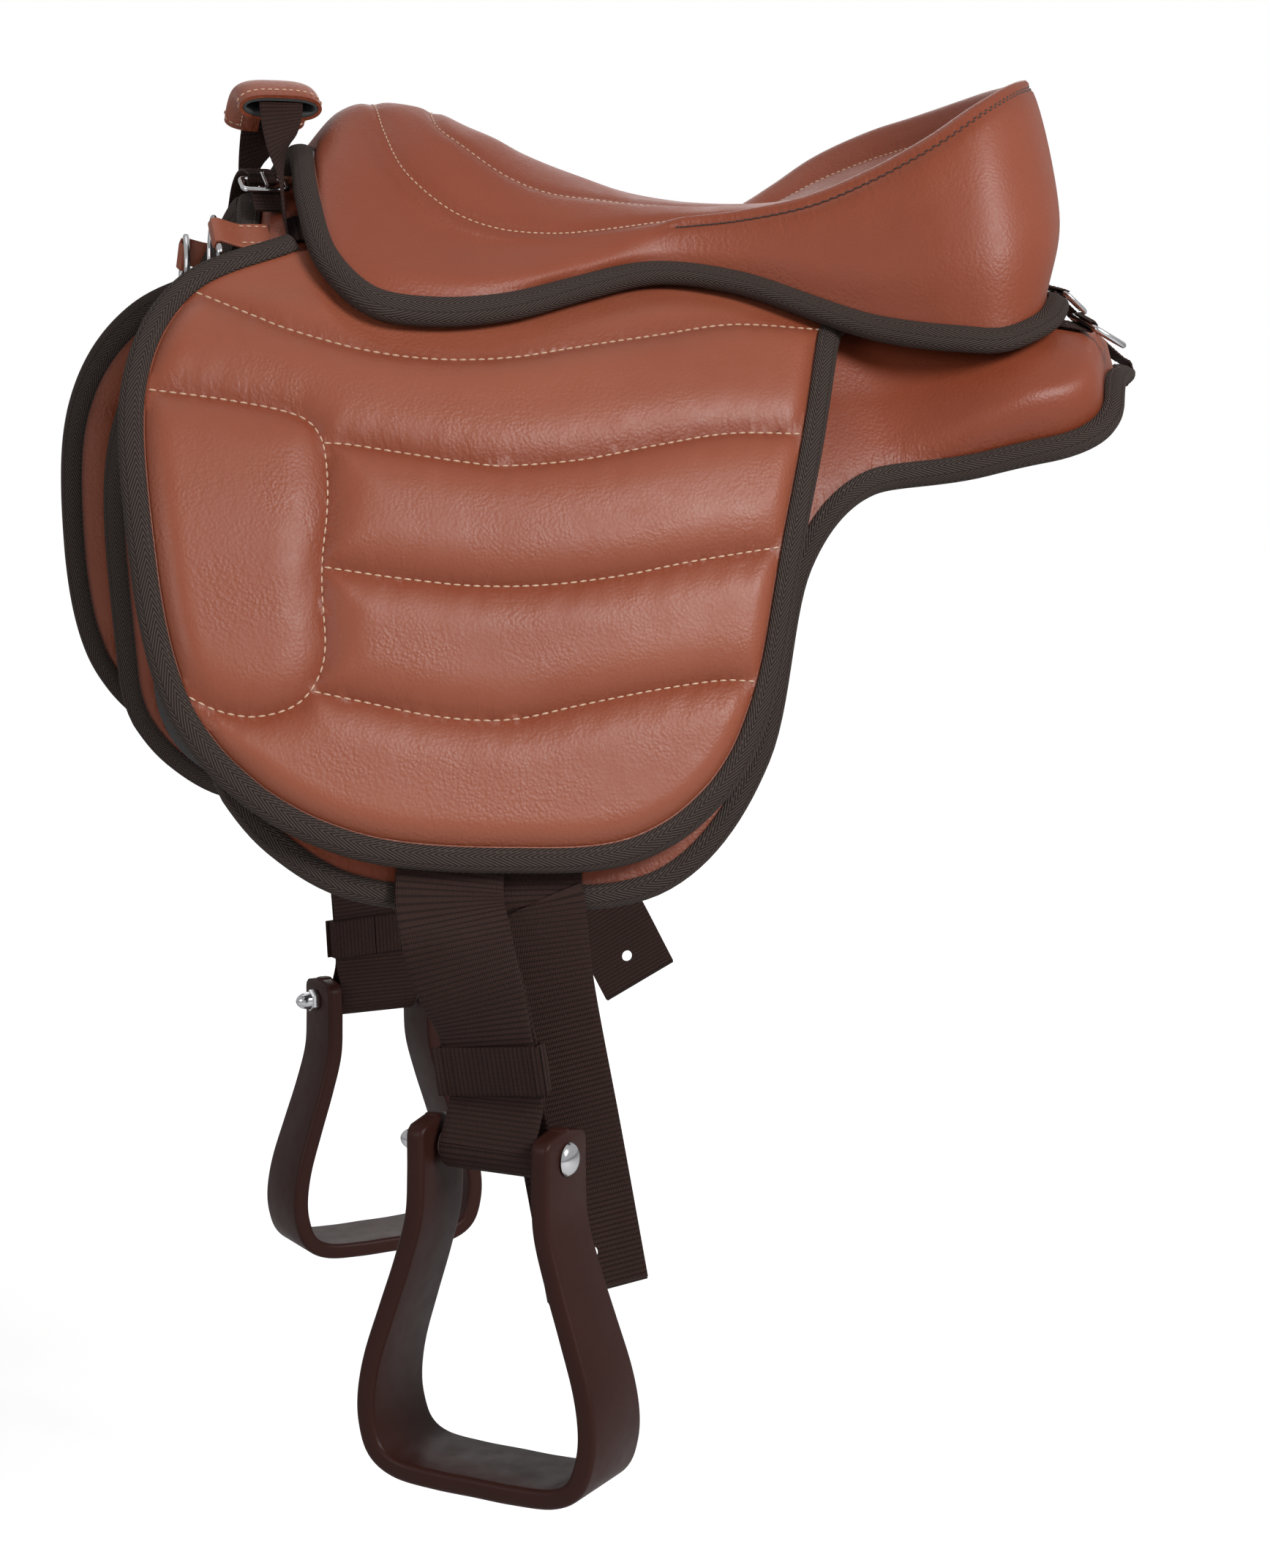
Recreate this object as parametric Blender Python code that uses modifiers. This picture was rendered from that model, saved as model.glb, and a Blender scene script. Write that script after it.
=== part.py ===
"""Treeless riding saddle: quilted flaps, padded seat, webbing straps and two hanging stirrups.

Metres, +Z up. +X runs from the pommel to the cantle and the horse's left side is -Y.
The origin lies on the horse's back, on the centre line under the middle of the saddle.
"""
import math

import bmesh
import bpy
import numpy as np
from mathutils import Matrix, Vector

# The horse's back under the saddle
CROWN_RADIUS = 0.080
CROWN_SLOPE = math.radians(15)
BARREL_RADIUS = 0.211
LOIN_RADIUS = 0.320
SIDE_SLOPE = math.radians(76)
LOIN_START = 0.080
LOIN_END = 0.200
WITHERS_LIFT = 0.032
WITHERS_START = -0.060
WITHERS_END = -0.190
WITHERS_REACH = 0.180
LOIN_DROP = 0.050
LOIN_DROP_START = 0.100
LOIN_DROP_END = 0.250
LOIN_REACH = 0.190

# General clearances and stock
GAP = 0.0003
PROBE = 0.001
MERGE_DISTANCE = 0.00001
CENTRE_TOLERANCE = 0.00002
TAPE_THICKNESS = 0.0011
TAPE_GAP = 0.0006
TAPE_LIP_SHARE = 0.78
RIM_WIDTH = 0.0095
WEBBING_WIDTH = 0.050
WEBBING_THICKNESS = 0.0018
WIRE_RADIUS = 0.0016

# Base pads, one each side of the spine
PAD_FRONT = 0.212
PAD_LENGTH = 0.499
PAD_REACH = 0.400
SPINE_HALF_GAP = 0.006
PAD_RIM = 0.0070
PAD_EDGE = 0.0054
PAD_FRONT_HEIGHT = 0.0135
PAD_REAR_HEIGHT = 0.0270
PAD_SHOULDER_START = 0.115
PAD_SHOULDER_END = 0.152
PAD_REAR_START = 0.084
PAD_REAR_END = 0.160
PAD_EDGE_SHARES = (0.0, 0.75, 1.0)
PANEL_THICKNESS = 0.0060
PANEL_CLEARANCE = 0.0010
PANEL_END_STEPS = (0.15, 7.85)
PANEL_ROWS = 5
STRIP_HALF_WIDTH = 0.020
STRIP_THICKNESS = 0.0020
STRIP_INSET = 0.014
STRIP_CLEARANCE = 0.0010
STRIP_ROWS = 24
STRIP_COLUMNS = 4

# Flaps: the upper part is sewn down, the lower part lifts on the bend line
FLAP_FRONT = 0.290
FLAP_LENGTH = 0.380
FLAP_REACH = 0.385
FLAP_UNDER = 0.0168
FLAP_RIM = 0.0050
FLAP_PUFF = 0.0070
BEND_REACH = 0.150
BEND_AXIS_HEIGHT = 0.0295
BEND_GAP_SHARE = 0.006
QUILT_FADE_SHARE = 0.3

# Seat
SEAT_FRONT = 0.184
SEAT_LENGTH = 0.407
SEAT_REACH = 0.153
SEAT_HALF_WIDTH = 0.128
CANTLE_HEIGHT = 0.1055
SEAT_LEVEL = 0.0262
SEAT_LEVEL_REAR = 0.0340
SEAT_LEVEL_START = 0.060
SEAT_LEVEL_END = 0.130
SEAT_FELT = 0.0020
SEAT_LEATHER = 0.0016
SEAT_FLANGE_GAP = 0.0010
SEAT_SEAM_DEPTH = 0.0015
SEAT_POMMEL_CROWN = 0.010
POMMEL_CROWN_START = -0.140
POMMEL_CROWN_END = -0.060
FOAM_CLEARANCE = 0.0010
FLOOR_CLEARANCE = 0.0010
FLOOR_INSET = 0.0060
FOAM_RIM_DROP = 0.0025

# Stirrup leathers and their hangers
HANGER_TOP_REACH = 0.190
HANGER_WIDTH = 0.012
HANGER_SLACK = 0.0016
HANGER_CLEARANCE = 0.0007
RING_X = -0.118
RING_REACH = 0.246
RING_WIDTH = 0.058
RING_HEIGHT = 0.0150
RING_CORNER = 0.003
RING_WIRE = 0.00175
RING_FLARE = 0.010
LEATHER_LEVEL = 0.0122
LEATHER_THICKNESS = 0.0020
PLY_GAP = 0.0005
SLEEVE_FLARE = 0.020
BUTT_ABOVE_BOLT = 0.090
KEEPER_LENGTH = 0.023
KEEPER_THICKNESS = 0.0015
KEEPER_CLEARANCE = 0.0006
KEEPER_ABOVE_BOLT = 0.038

# Girth billets
BILLET_LEVEL = 0.0084
BILLET_HOLE_RADIUS = 0.0035
BILLET_HOLE_INSET = 0.018
BILLET_STEPS = 16

# Stirrups
STIRRUP_HEIGHT = 0.172
STIRRUP_BULGE = 0.128
STIRRUP_WALL = 0.0095
STIRRUP_DEPTH = 0.048
STIRRUP_NECK = 0.076
STIRRUP_EDGE = 0.0014
ARM_ABOVE_BOLT = 0.013
BOLT_RADIUS = 0.0040
BOLT_HEAD_RADIUS = 0.0080
BOLT_HEAD_HEIGHT = 0.0042
NUT_RADIUS = 0.0068
NUT_HEIGHT = 0.0135
NUT_DEPTH = 0.0070
SLEEVE_RADIUS = 0.0080
SLEEVE_END_GAP = 0.0012

# Rings and tabs on the base pads
D_RING_WIDTH = 0.030
D_RING_HEIGHT = 0.024
TAB_WIDTH = 0.020
TAB_LENGTH = 0.026
TAB_THICKNESS = 0.0015
TAB_FOLD_SHARE = 0.42
FRONT_RING_X = -0.2325
FRONT_RING_REACH = 0.066
FRONT_RING_LEVEL = 0.0108
FRONT_TAB_LEVEL = 0.0100
FRONT_RING_HANG = math.radians(88)
REAR_RING_X = 0.207
REAR_RING_REACH = 0.112
REAR_RING_LEVEL = 0.0314
REAR_TAB_LEVEL = 0.0288
REAR_RING_HANG = math.radians(18)

# Buckled straps
BUCKLE_WIDTH = 0.022
BUCKLE_LENGTH = 0.016
BUCKLE_WIRE = 0.0014
TONGUE_WIRE = 0.0010
STRAP_WIDTH = 0.014
STRAP_THICKNESS = 0.0016
SLOT_WIDTH = 0.0040
STRAP_RETURN = 0.004
FRONT_STRAP_X = -0.2050
FRONT_BAR_REACH = -0.0290
FRONT_BAR_LEVEL = 0.0192
REAR_BAR_BEHIND = 0.024
REAR_BAR_Z = -0.004
REAR_BUCKLE_SLOPE = math.radians(40)
REAR_STRAP_STEP = 0.25
REAR_STRAP_STANDOFF = 0.0007

# Hand strap at the pommel
GRIP_X = -0.194
GRIP_TOP = 0.089
GRIP_RADIUS = 0.045
GRIP_HALF_SPAN = 0.030
GRIP_WIDTH = 0.042
GRIP_THICKNESS = 0.015
GRIP_LEATHER = 0.0018
GRIP_LINING = 0.0012
GRIP_SQUARENESS = 0.6
GRIP_SLIT = 4
GRIP_SLACK = 0.0015
HAND_STRAP_WIDTH = 0.022
HAND_FOOT_LEVEL = 0.0150

# The hand strap's leg as shares of the grip's width, radius and top, then its foot as shares of
# the grip's width and of the foot's reach
HAND_FOOT_REACH = 0.0665
HAND_LEG_SHARES = ((-0.048, 0.978, 0.708), (-0.107, 1.267, 0.517))
HAND_FOOT_SHARES = ((-0.107, 0.985), (0.036, 1.0), (0.429, 1.0), (1.048, 1.0))
HAND_TWIST_SHARES = (0.40, 0.85)

# Stirrup leathers on the left and on the right. Over the pad: shares of the webbing's width along
# the horse and of the way from the ring to the pad's reach. Below the pad: shares of the webbing's
# width, of the distance out and of the drop. The turns of the leather are in degrees.
LEATHER_OUT = 0.0104
LEATHER_DROP = {-1: 0.1213, 1: 0.1333}
LEATHER_OVER_SHARES = {
    -1: ((0.0, 0.0), (-0.20, 0.351), (-0.50, 0.688), (-0.66, 0.935)),
    1: ((0.0, 0.0), (0.02, 0.351), (0.06, 0.688), (0.12, 0.935)),
}
LEATHER_BELOW_SHARES = {
    -1: ((0.02, 0.83, 0.159), (0.10, 0.95, 0.308), (0.28, 1.0, 0.530), (0.38, 1.0, 0.769),
         (0.38, 1.0, 1.0)),
    1: ((0.04, 0.83, 0.145), (0.08, 0.95, 0.280), (0.12, 1.0, 0.505), (0.16, 1.0, 0.767),
        (0.16, 1.0, 1.0)),
}
LEATHER_TURNS = {-1: (0, 0, 0, 0.5, 5, 20, 43, 44, 44), 1: (0, 0, 0, 0.5, 3, 8, 14, 14, 14)}
LEATHER_STEPS = (7, 15, 5)

# Girth billets, in the same way
BILLET_X = -0.105
BILLET_REACH = 0.268
BILLET_OUT = {-1: 0.0051, 1: 0.0070}
BILLET_DROP = {-1: 0.1934, 1: 0.1382}
BILLET_OVER_SHARES = {
    -1: ((0.0, 0.0), (-0.08, 0.394), (-0.14, 0.924)),
    1: ((0.0, 0.0), (0.74, 0.394), (1.74, 0.864)),
}
BILLET_BELOW_SHARES = {
    -1: ((0.02, 0.61, 0.059), (0.10, 0.96, 0.266), (0.36, 1.0, 0.628), (0.62, 1.0, 1.0)),
    1: ((0.24, 0.71, 0.139), (0.60, 0.97, 0.320), (1.16, 1.0, 0.645), (1.68, 1.0, 1.0)),
}

# Front strap as shares of its reach and of its buckle's level, rear strap as shares of its drop
FRONT_STRAP_REACH = 0.047
FRONT_UPPER_SHARES = ((1.0, 0.781), (0.766, 0.813), (0.489, 0.948), (0.213, 0.958), (-0.085, 0.969),
                      (-0.340, 1.021))
FRONT_LOWER_SHARES = ((-1.053, 0.781), (-1.128, 0.771))
REAR_STRAP_DROP = 0.050
REAR_LOWER_SHARES = ((0.50, -0.50), (0.74, -0.69), (0.85, -0.76), (0.87, -0.92), (0.80, -1.01))

# Stirrup outline from an arm's top to the middle of the tread: shares of the half width, of
# the height and of the depth
STIRRUP_SHARES = (
    (0.561, 0.000, 0.74), (0.561, 0.045, 0.78), (0.561, 0.150, 0.79), (0.580, 0.270, 0.80),
    (0.680, 0.400, 0.82), (0.815, 0.540, 0.86), (0.945, 0.680, 0.91), (1.000, 0.790, 0.95),
    (0.985, 0.875, 0.98), (0.900, 0.950, 1.00), (0.700, 0.990, 1.00), (0.350, 1.000, 1.00),
    (0.000, 1.000, 1.00),
)
BOLT_HEAD_SHARES = ((0.35, 1.0), (0.75, 0.80), (0.95, 0.45), (1.0, 0.0))
NUT_SHARES = ((0.40, 1.0), (0.48, 0.82), (0.75, 0.66), (0.93, 0.38), (1.0, 0.0))

# Flap seams as shares of the flap's length and reach: rows top edge, first seam, pocket top,
# middle seam, low seam and bottom; columns front, pocket seam, middle, aft and rear
FLAP_COLUMN_STEPS = (0, 0.15, 0.5, 0.85, 1, 1.2, 2, 2.5, 3, 3.75, 4)
FLAP_ROW_STEPS = (2, 2.15, 2.5, 2.85, 3, 3.15, 3.5, 3.85, 4, 4.15, 4.5, 4.85, 5)
FLAP_NET_SHARES = (
    ((0.247, 0.234), (0.316, 0.218), (0.500, 0.213), (0.711, 0.192), (0.953, 0.270)),
    ((0.105, 0.299), (0.221, 0.343), (0.447, 0.374), (0.658, 0.330), (0.921, 0.314)),
    ((0.034, 0.423), (0.237, 0.478), (0.447, 0.509), (0.663, 0.486), (0.861, 0.470)),
    ((0.032, 0.623), (0.229, 0.626), (0.453, 0.652), (0.658, 0.631), (0.811, 0.610)),
    ((0.063, 0.782), (0.216, 0.787), (0.447, 0.816), (0.645, 0.784), (0.766, 0.774)),
    ((0.139, 0.896), (0.276, 0.951), (0.442, 0.969), (0.584, 0.964), (0.705, 0.906)),
)

# Base pad as shares of its length and reach: rows spine, upper, lower and bottom edge
PAD_COLUMN_STEPS = (0, 0.35, 1, 1.5, 2, 2.5, 3, 3.5, 4, 4.5, 5, 5.5, 6, 6.5, 7, 7.45, 7.8, 8)
PAD_ROW_STEPS = (0, 0.3, 0.6, 0.85, 1, 1.2, 1.4, 1.6, 1.8, 2, 2.2, 2.4, 2.6, 2.8, 2.92, 3)
PAD_NET_SHARES = (
    ((0.022, 0.015), (0.094, 0.015), (0.194, 0.015), (0.305, 0.015), (0.405, 0.015),
     (0.485, 0.015), (0.595, 0.015), (0.745, 0.015), (0.978, 0.015)),
    ((-0.004, 0.175), (0.080, 0.195), (0.190, 0.212), (0.315, 0.212), (0.415, 0.200),
     (0.489, 0.180), (0.589, 0.165), (0.725, 0.165), (0.922, 0.180)),
    ((-0.088, 0.438), (0.044, 0.500), (0.184, 0.538), (0.325, 0.525), (0.425, 0.450),
     (0.489, 0.362), (0.581, 0.312), (0.715, 0.320), (0.862, 0.325)),
    ((-0.068, 0.855), (0.034, 0.950), (0.182, 0.972), (0.329, 0.958), (0.425, 0.825),
     (0.483, 0.590), (0.573, 0.478), (0.695, 0.478), (0.814, 0.475)),
)

# Seat stations from the front centre to the rear centre, as shares: edge x, edge reach,
# rim x, rim y, rim z, spine x, spine z, outer seam, inner seam
SEAT_SHARES = (
    (0.000, 0.000, 0.059, 0.000, 0.777, 0.222, 0.712, 0.26, 0.74),
    (-0.012, 0.209, 0.059, 0.203, 0.720, 0.228, 0.708, 0.24, 0.70),
    (-0.020, 0.444, 0.066, 0.406, 0.531, 0.236, 0.701, 0.20, 0.62),
    (-0.012, 0.667, 0.088, 0.594, 0.303, 0.246, 0.692, 0.16, 0.55),
    (0.037, 0.817, 0.143, 0.703, 0.133, 0.265, 0.664, 0.12, 0.50),
    (0.118, 0.837, 0.206, 0.734, 0.076, 0.295, 0.607, 0.10, 0.46),
    (0.211, 0.784, 0.285, 0.719, 0.085, 0.334, 0.550, 0.10, 0.45),
    (0.312, 0.667, 0.359, 0.672, 0.133, 0.378, 0.493, 0.10, 0.45),
    (0.413, 0.575, 0.437, 0.656, 0.190, 0.432, 0.427, 0.12, 0.45),
    (0.504, 0.614, 0.521, 0.719, 0.227, 0.501, 0.384, 0.15, 0.48),
    (0.585, 0.732, 0.604, 0.828, 0.294, 0.575, 0.370, 0.18, 0.50),
    (0.666, 0.856, 0.678, 0.922, 0.417, 0.644, 0.374, 0.20, 0.52),
    (0.749, 0.961, 0.747, 1.000, 0.569, 0.698, 0.389, 0.20, 0.54),
    (0.818, 1.000, 0.811, 0.992, 0.730, 0.735, 0.408, 0.20, 0.55),
    (0.885, 0.908, 0.875, 0.844, 0.853, 0.764, 0.436, 0.20, 0.55),
    (0.931, 0.719, 0.924, 0.625, 0.919, 0.786, 0.464, 0.20, 0.55),
    (0.968, 0.471, 0.958, 0.391, 0.967, 0.799, 0.483, 0.20, 0.55),
    (0.993, 0.235, 0.978, 0.188, 0.995, 0.806, 0.493, 0.20, 0.55),
    (1.000, 0.000, 0.985, 0.000, 1.000, 0.808, 0.498, 0.20, 0.55),
)
CANTLE_STATION = 8
SEAT_RIM_STEP = 3
SEAT_STEPS = (0.0, 0.55, 1.0, 1.7, 2.0, 2.45, 3.0, 3.5, 4.0, 5.0)
SEAT_CROWN_POWER = 1.6
SEAT_FLOOR_STEPS = 4
SEAM_SHARE = 0.10
SEAT_BULGE_SHARE = 0.40
SEAT_BULGE_OUT_SHARE = 0.085


def ramp(value, start, end):
    """0 before start, 1 after end and smooth between them."""
    share = min(max((value - start) / (end - start), 0.0), 1.0)
    return share * share * (3 - 2 * share)


def back_point(x, reach, height=0.0):
    """A point over the horse's back; reach goes round the barrel and is negative on the left."""
    side = -1 if reach < 0 else 1
    left = abs(reach)
    crown_arc = min(left, CROWN_RADIUS * CROWN_SLOPE)
    radius = BARREL_RADIUS + (LOIN_RADIUS - BARREL_RADIUS) * ramp(x, LOIN_START, LOIN_END)
    barrel_arc = min(left - crown_arc, radius * (SIDE_SLOPE - CROWN_SLOPE))
    slope = crown_arc / CROWN_RADIUS
    y = CROWN_RADIUS * math.sin(slope)
    z = -CROWN_RADIUS * (1 - math.cos(slope))
    lower = slope + barrel_arc / radius
    y += radius * (math.sin(lower) - math.sin(slope))
    z -= radius * (math.cos(slope) - math.cos(lower))
    rest = left - crown_arc - barrel_arc
    y += rest * math.cos(lower)
    z -= rest * math.sin(lower)
    z += WITHERS_LIFT * ramp(-x, -WITHERS_START, -WITHERS_END) * (1 - ramp(left, 0, WITHERS_REACH))
    z -= LOIN_DROP * ramp(x, LOIN_DROP_START, LOIN_DROP_END) * (1 - ramp(left, 0, LOIN_REACH))
    return np.array((x, side * (y + height * math.sin(lower)), z + height * math.cos(lower)))


def spline(points, at):
    """A point of the smooth curve through the points; at counts points from 0."""
    points = np.asarray(points, float)
    first = min(max(int(math.floor(at)), 0), len(points) - 2)
    share = at - first
    a = points[first - 1] if first else 2 * points[0] - points[1]
    b, c = points[first], points[first + 1]
    d = points[first + 2] if first + 2 < len(points) else 2 * points[-1] - points[-2]
    return b + 0.5 * share * (c - a + share * (2 * a - 5 * b + 4 * c - d
                                               + share * (3 * (b - c) + d - a)))


def net_point(net, column, row):
    """A point of the smooth sheet through a net of points."""
    return spline([spline(line, column) for line in net], row)


def unit(vector):
    """The vector at a length of one."""
    return vector / np.linalg.norm(vector)


def material(name, colour, roughness, metallic=0.0):
    """A plain finish for one piece."""
    made = bpy.data.materials.new(name)
    made.use_nodes = True
    shader = made.node_tree.nodes["Principled BSDF"]
    shader.inputs["Base Color"].default_value = (*colour, 1)
    shader.inputs["Roughness"].default_value = roughness
    shader.inputs["Metallic"].default_value = metallic
    return made


FINISHES = {
    "leather": ((0.33, 0.085, 0.040), 0.45, 0.0),
    "tape": ((0.045, 0.028, 0.022), 0.90, 0.0),
    "webbing": ((0.050, 0.022, 0.016), 0.85, 0.0),
    "felt": ((0.030, 0.025, 0.024), 0.95, 0.0),
    "foam": ((0.35, 0.33, 0.30), 0.95, 0.0),
    "lining": ((0.012, 0.018, 0.016), 0.80, 0.0),
    "moulding": ((0.048, 0.014, 0.010), 0.35, 0.0),
    "chrome": ((0.80, 0.80, 0.82), 0.15, 1.0),
}


def finish(thing, kind, parent=None, smooth=True):
    """Give a piece its own material, its parent and its shading."""
    colour, roughness, metallic = FINISHES[kind]
    thing.data.materials.append(material(thing.name, colour, roughness, metallic))
    if smooth and thing.type == "MESH":
        thing.data.shade_smooth()
        thing.data.set_sharp_from_angle(angle=math.radians(40))
    if parent:
        thing.parent = parent
        thing.matrix_parent_inverse = parent.matrix_world.inverted()
    return thing


def face_outwards(form):
    """Turn the faces of a closed form outwards."""
    bmesh.ops.recalc_face_normals(form, faces=form.faces)
    if form.calc_volume(signed=True) < 0:
        bmesh.ops.reverse_faces(form, faces=form.faces)


def new_object(name, form, kind, parent=None):
    """Turn a shaped mesh into a named piece of the saddle."""
    face_outwards(form)
    mesh = bpy.data.meshes.new(name)
    form.to_mesh(mesh)
    form.free()
    made = bpy.data.objects.new(name, mesh)
    saddle.objects.link(made)
    return finish(made, kind, parent)


def slab(name, columns, rows, place, kind, parent=None):
    """A closed sheet shaped from a grid: place(i, j, top) gives each corner of the grid."""
    form = bmesh.new()
    bmesh.ops.create_grid(form, x_segments=columns, y_segments=rows, size=0.5)
    grown = bmesh.ops.extrude_face_region(form, geom=form.faces[:])
    raised = {item for item in grown["geom"] if isinstance(item, bmesh.types.BMVert)}
    for vert in form.verts:
        i = round((vert.co.x + 0.5) * columns)
        j = round((vert.co.y + 0.5) * rows)
        vert.co = Vector(place(i, j, vert in raised))
    return new_object(name, form, kind, parent)


def ribbon(name, frames, width, thickness, kind, parent=None):
    """A flat strap along frames of (centre, across, out)."""
    def place(i, j, top):
        centre, across, out = frames[j]
        return centre + across * width * (i - 0.5) + out * thickness * ((1 if top else 0) - 0.5)
    return slab(name, 1, len(frames) - 1, place, kind, parent)


def wire(name, points, radius, kind, parent=None, closed=True, resolution=1):
    """A bent round wire through the points."""
    curve = bpy.data.curves.new(name, "CURVE")
    curve.dimensions = "3D"
    curve.bevel_depth = radius
    curve.bevel_resolution = resolution
    curve.use_fill_caps = not closed
    line = curve.splines.new("POLY")
    line.points.add(len(points) - 1)
    for point, place in zip(line.points, points):
        point.co = (*place, 1)
    line.use_cyclic_u = closed
    made = bpy.data.objects.new(name, curve)
    saddle.objects.link(made)
    return finish(made, kind, parent)


def turned(name, profile, centre, axis, kind, parent=None, steps=16):
    """A turned piece: the profile of (along, radius) runs along the axis from the centre."""
    form = bmesh.new()
    verts = [form.verts.new((radius, 0, along)) for along, radius in reversed(profile)]
    for a, b in zip(verts, verts[1:]):
        form.edges.new((a, b))
    if profile[0][1] > 0:
        form.edges.new((verts[-1], verts[0]))
    mesh = bpy.data.meshes.new(name)
    form.to_mesh(mesh)
    form.free()
    made = bpy.data.objects.new(name, mesh)
    saddle.objects.link(made)
    made.matrix_world = Matrix.Translation(Vector(centre)) @ (
        Vector(axis).to_track_quat("Z", "Y").to_matrix().to_4x4())
    bpy.context.view_layer.update()
    screw = made.modifiers.new("turn", "SCREW")
    screw.steps = steps
    screw.render_steps = steps
    screw.use_merge_vertices = True
    screw.merge_threshold = MERGE_DISTANCE
    return finish(made, kind, parent, smooth=False)


def pivot(name, place):
    """An empty on a joint's axis, which carries what moves."""
    made = bpy.data.objects.new(name, None)
    saddle.objects.link(made)
    made.location = Vector(place)
    bpy.context.view_layer.update()
    return made


def side_name(side):
    """left is the near side of the horse, at -Y."""
    return "left" if side < 0 else "right"


# Panels with a bound edge


def panel_corners(inner, columns, rows, first_row_bound):
    """Places of a grid whose outer ring lies a rim's width outside the inner grid of (x, reach)."""
    low = 1 if first_row_bound else 0

    def inner_at(i, j):
        return inner(min(max(i, 1), columns - 1) - 1, min(max(j, low), rows - 1) - low)

    def outward(i, j):
        a, b = min(max(i, 1), columns - 1), min(max(j, low), rows - 1)
        push = np.zeros(2)
        if i in (0, columns):
            before, after = inner_at(a, max(b - 1, low)), inner_at(a, min(b + 1, rows - 1))
            along = unit(after - before)
            push += np.array((-along[1], along[0])) * (1 if i == 0 else -1)
        if j == rows or (first_row_bound and j == 0):
            before, after = inner_at(max(a - 1, 1), b), inner_at(min(a + 1, columns - 1), b)
            along = unit(after - before)
            push += np.array((-along[1], along[0])) * (1 if j == rows else -1)
        return unit(push) if push.any() else push

    def corner(i, j):
        return inner_at(i, j) + outward(i, j) * RIM_WIDTH

    return corner, outward, inner_at


def tape(name, stations, under, over, side, parent=None):
    """Folded edge tape over stations of (rim, inner, outward) in (x, reach)."""
    def place(i, j, top):
        rim, inner, outward = stations[j]
        extra = TAPE_GAP + (TAPE_THICKNESS if top else 0.0)
        level = under - extra if i < 2 else over + extra
        if i in (1, 2):
            spot = rim + outward * extra
            return back_point(spot[0], side * spot[1], level)
        ends = [back_point(spot[0], side * spot[1], level) for spot in (rim, inner)]
        return ends[0] + (ends[1] - ends[0]) * TAPE_LIP_SHARE
    return slab(name, 3, len(stations) - 1, place, "tape", parent)


def ring_stations(corner, outward, inner_at, spots):
    """Tape stations for the listed places of a panel's outer ring."""
    return [(corner(i, j), inner_at(i, j), outward(i, j)) for i, j in spots]


# Base pads


def pad_net():
    """The base pad's net of (x, reach) in metres."""
    return [[np.array((x * PAD_LENGTH - PAD_FRONT, max(s * PAD_REACH, SPINE_HALF_GAP)))
             for x, s in row] for row in PAD_NET_SHARES]


def pad_height(x, reach):
    """Height of the padding away from its edges."""
    rear = ramp(x, PAD_REAR_START, PAD_REAR_END)
    front = (PAD_FRONT_HEIGHT - PAD_RIM) * (1 - ramp(reach, PAD_SHOULDER_START, PAD_SHOULDER_END))
    return PAD_RIM + front * (1 - rear) + (PAD_REAR_HEIGHT - PAD_RIM) * rear


def pad_edge_share(i, j):
    """How far the padding has risen: 0 at the bound edges and 1 inside."""
    from_ends = min(i, len(PAD_COLUMN_STEPS) - 1 - i, 2)
    from_bottom = min(len(PAD_ROW_STEPS) - 1 - j, 2)
    return PAD_EDGE_SHARES[from_ends] * PAD_EDGE_SHARES[from_bottom]


def base_pad(side):
    """One half of the base: a leather pad with its bound edge."""
    net = pad_net()
    columns, rows = len(PAD_COLUMN_STEPS) + 1, len(PAD_ROW_STEPS)

    def inner(i, j):
        return net_point(net, PAD_COLUMN_STEPS[i], PAD_ROW_STEPS[j])
    corner, outward, inner_at = panel_corners(inner, columns, rows, False)

    def place(i, j, top):
        x, reach = corner(i, j)
        height = 0.0
        if top:
            height = PAD_EDGE
            if 0 < i < columns and j < rows:
                share = pad_edge_share(i - 1, j)
                height += (pad_height(x, reach) - PAD_EDGE) * share
        return back_point(x, side * reach, height)
    slab("base_pad_" + side_name(side), columns, rows, place, "leather")
    spots = [(0, j) for j in range(1, rows)] + [(i, rows) for i in range(columns + 1)]
    spots += [(columns, j) for j in range(rows - 1, 0, -1)]
    stations = ring_stations(corner, outward, inner_at, spots)
    tape("base_binding_" + side_name(side), stations, 0.0, PAD_EDGE, side)


def under_panel(side):
    """The felt panel that lies on the horse, under one base pad."""
    net = pad_net()
    ends = PANEL_END_STEPS
    steps = [ends[0]] + [step for step in PAD_COLUMN_STEPS if ends[0] < step < ends[1]] + [ends[1]]

    def place(i, j, top):
        x, reach = net_point(net, steps[i], (len(net) - 1) * j / PANEL_ROWS)
        level = -PANEL_CLEARANCE - (0 if top else PANEL_THICKNESS)
        return back_point(x, side * reach, level)
    slab("under_panel_" + side_name(side), len(steps) - 1, PANEL_ROWS, place, "felt")


def spine_strip():
    """The leather strip that joins the two base pads over the spine."""
    start, end = STRIP_INSET - PAD_FRONT, PAD_LENGTH - PAD_FRONT - STRIP_INSET * 2

    def place(i, j, top):
        x = start + (end - start) * j / STRIP_ROWS
        reach = STRIP_HALF_WIDTH * (2 * i / STRIP_COLUMNS - 1)
        level = pad_height(x, abs(reach)) + STRIP_CLEARANCE + (STRIP_THICKNESS if top else 0)
        return back_point(x, reach, level)
    slab("spine_strip", STRIP_COLUMNS, STRIP_ROWS, place, "leather")


# Flaps


def flap_net():
    """The flap's net of (x, reach) in metres."""
    return [[np.array((x * FLAP_LENGTH - FLAP_FRONT, s * FLAP_REACH)) for x, s in row]
            for row in FLAP_NET_SHARES]


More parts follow.
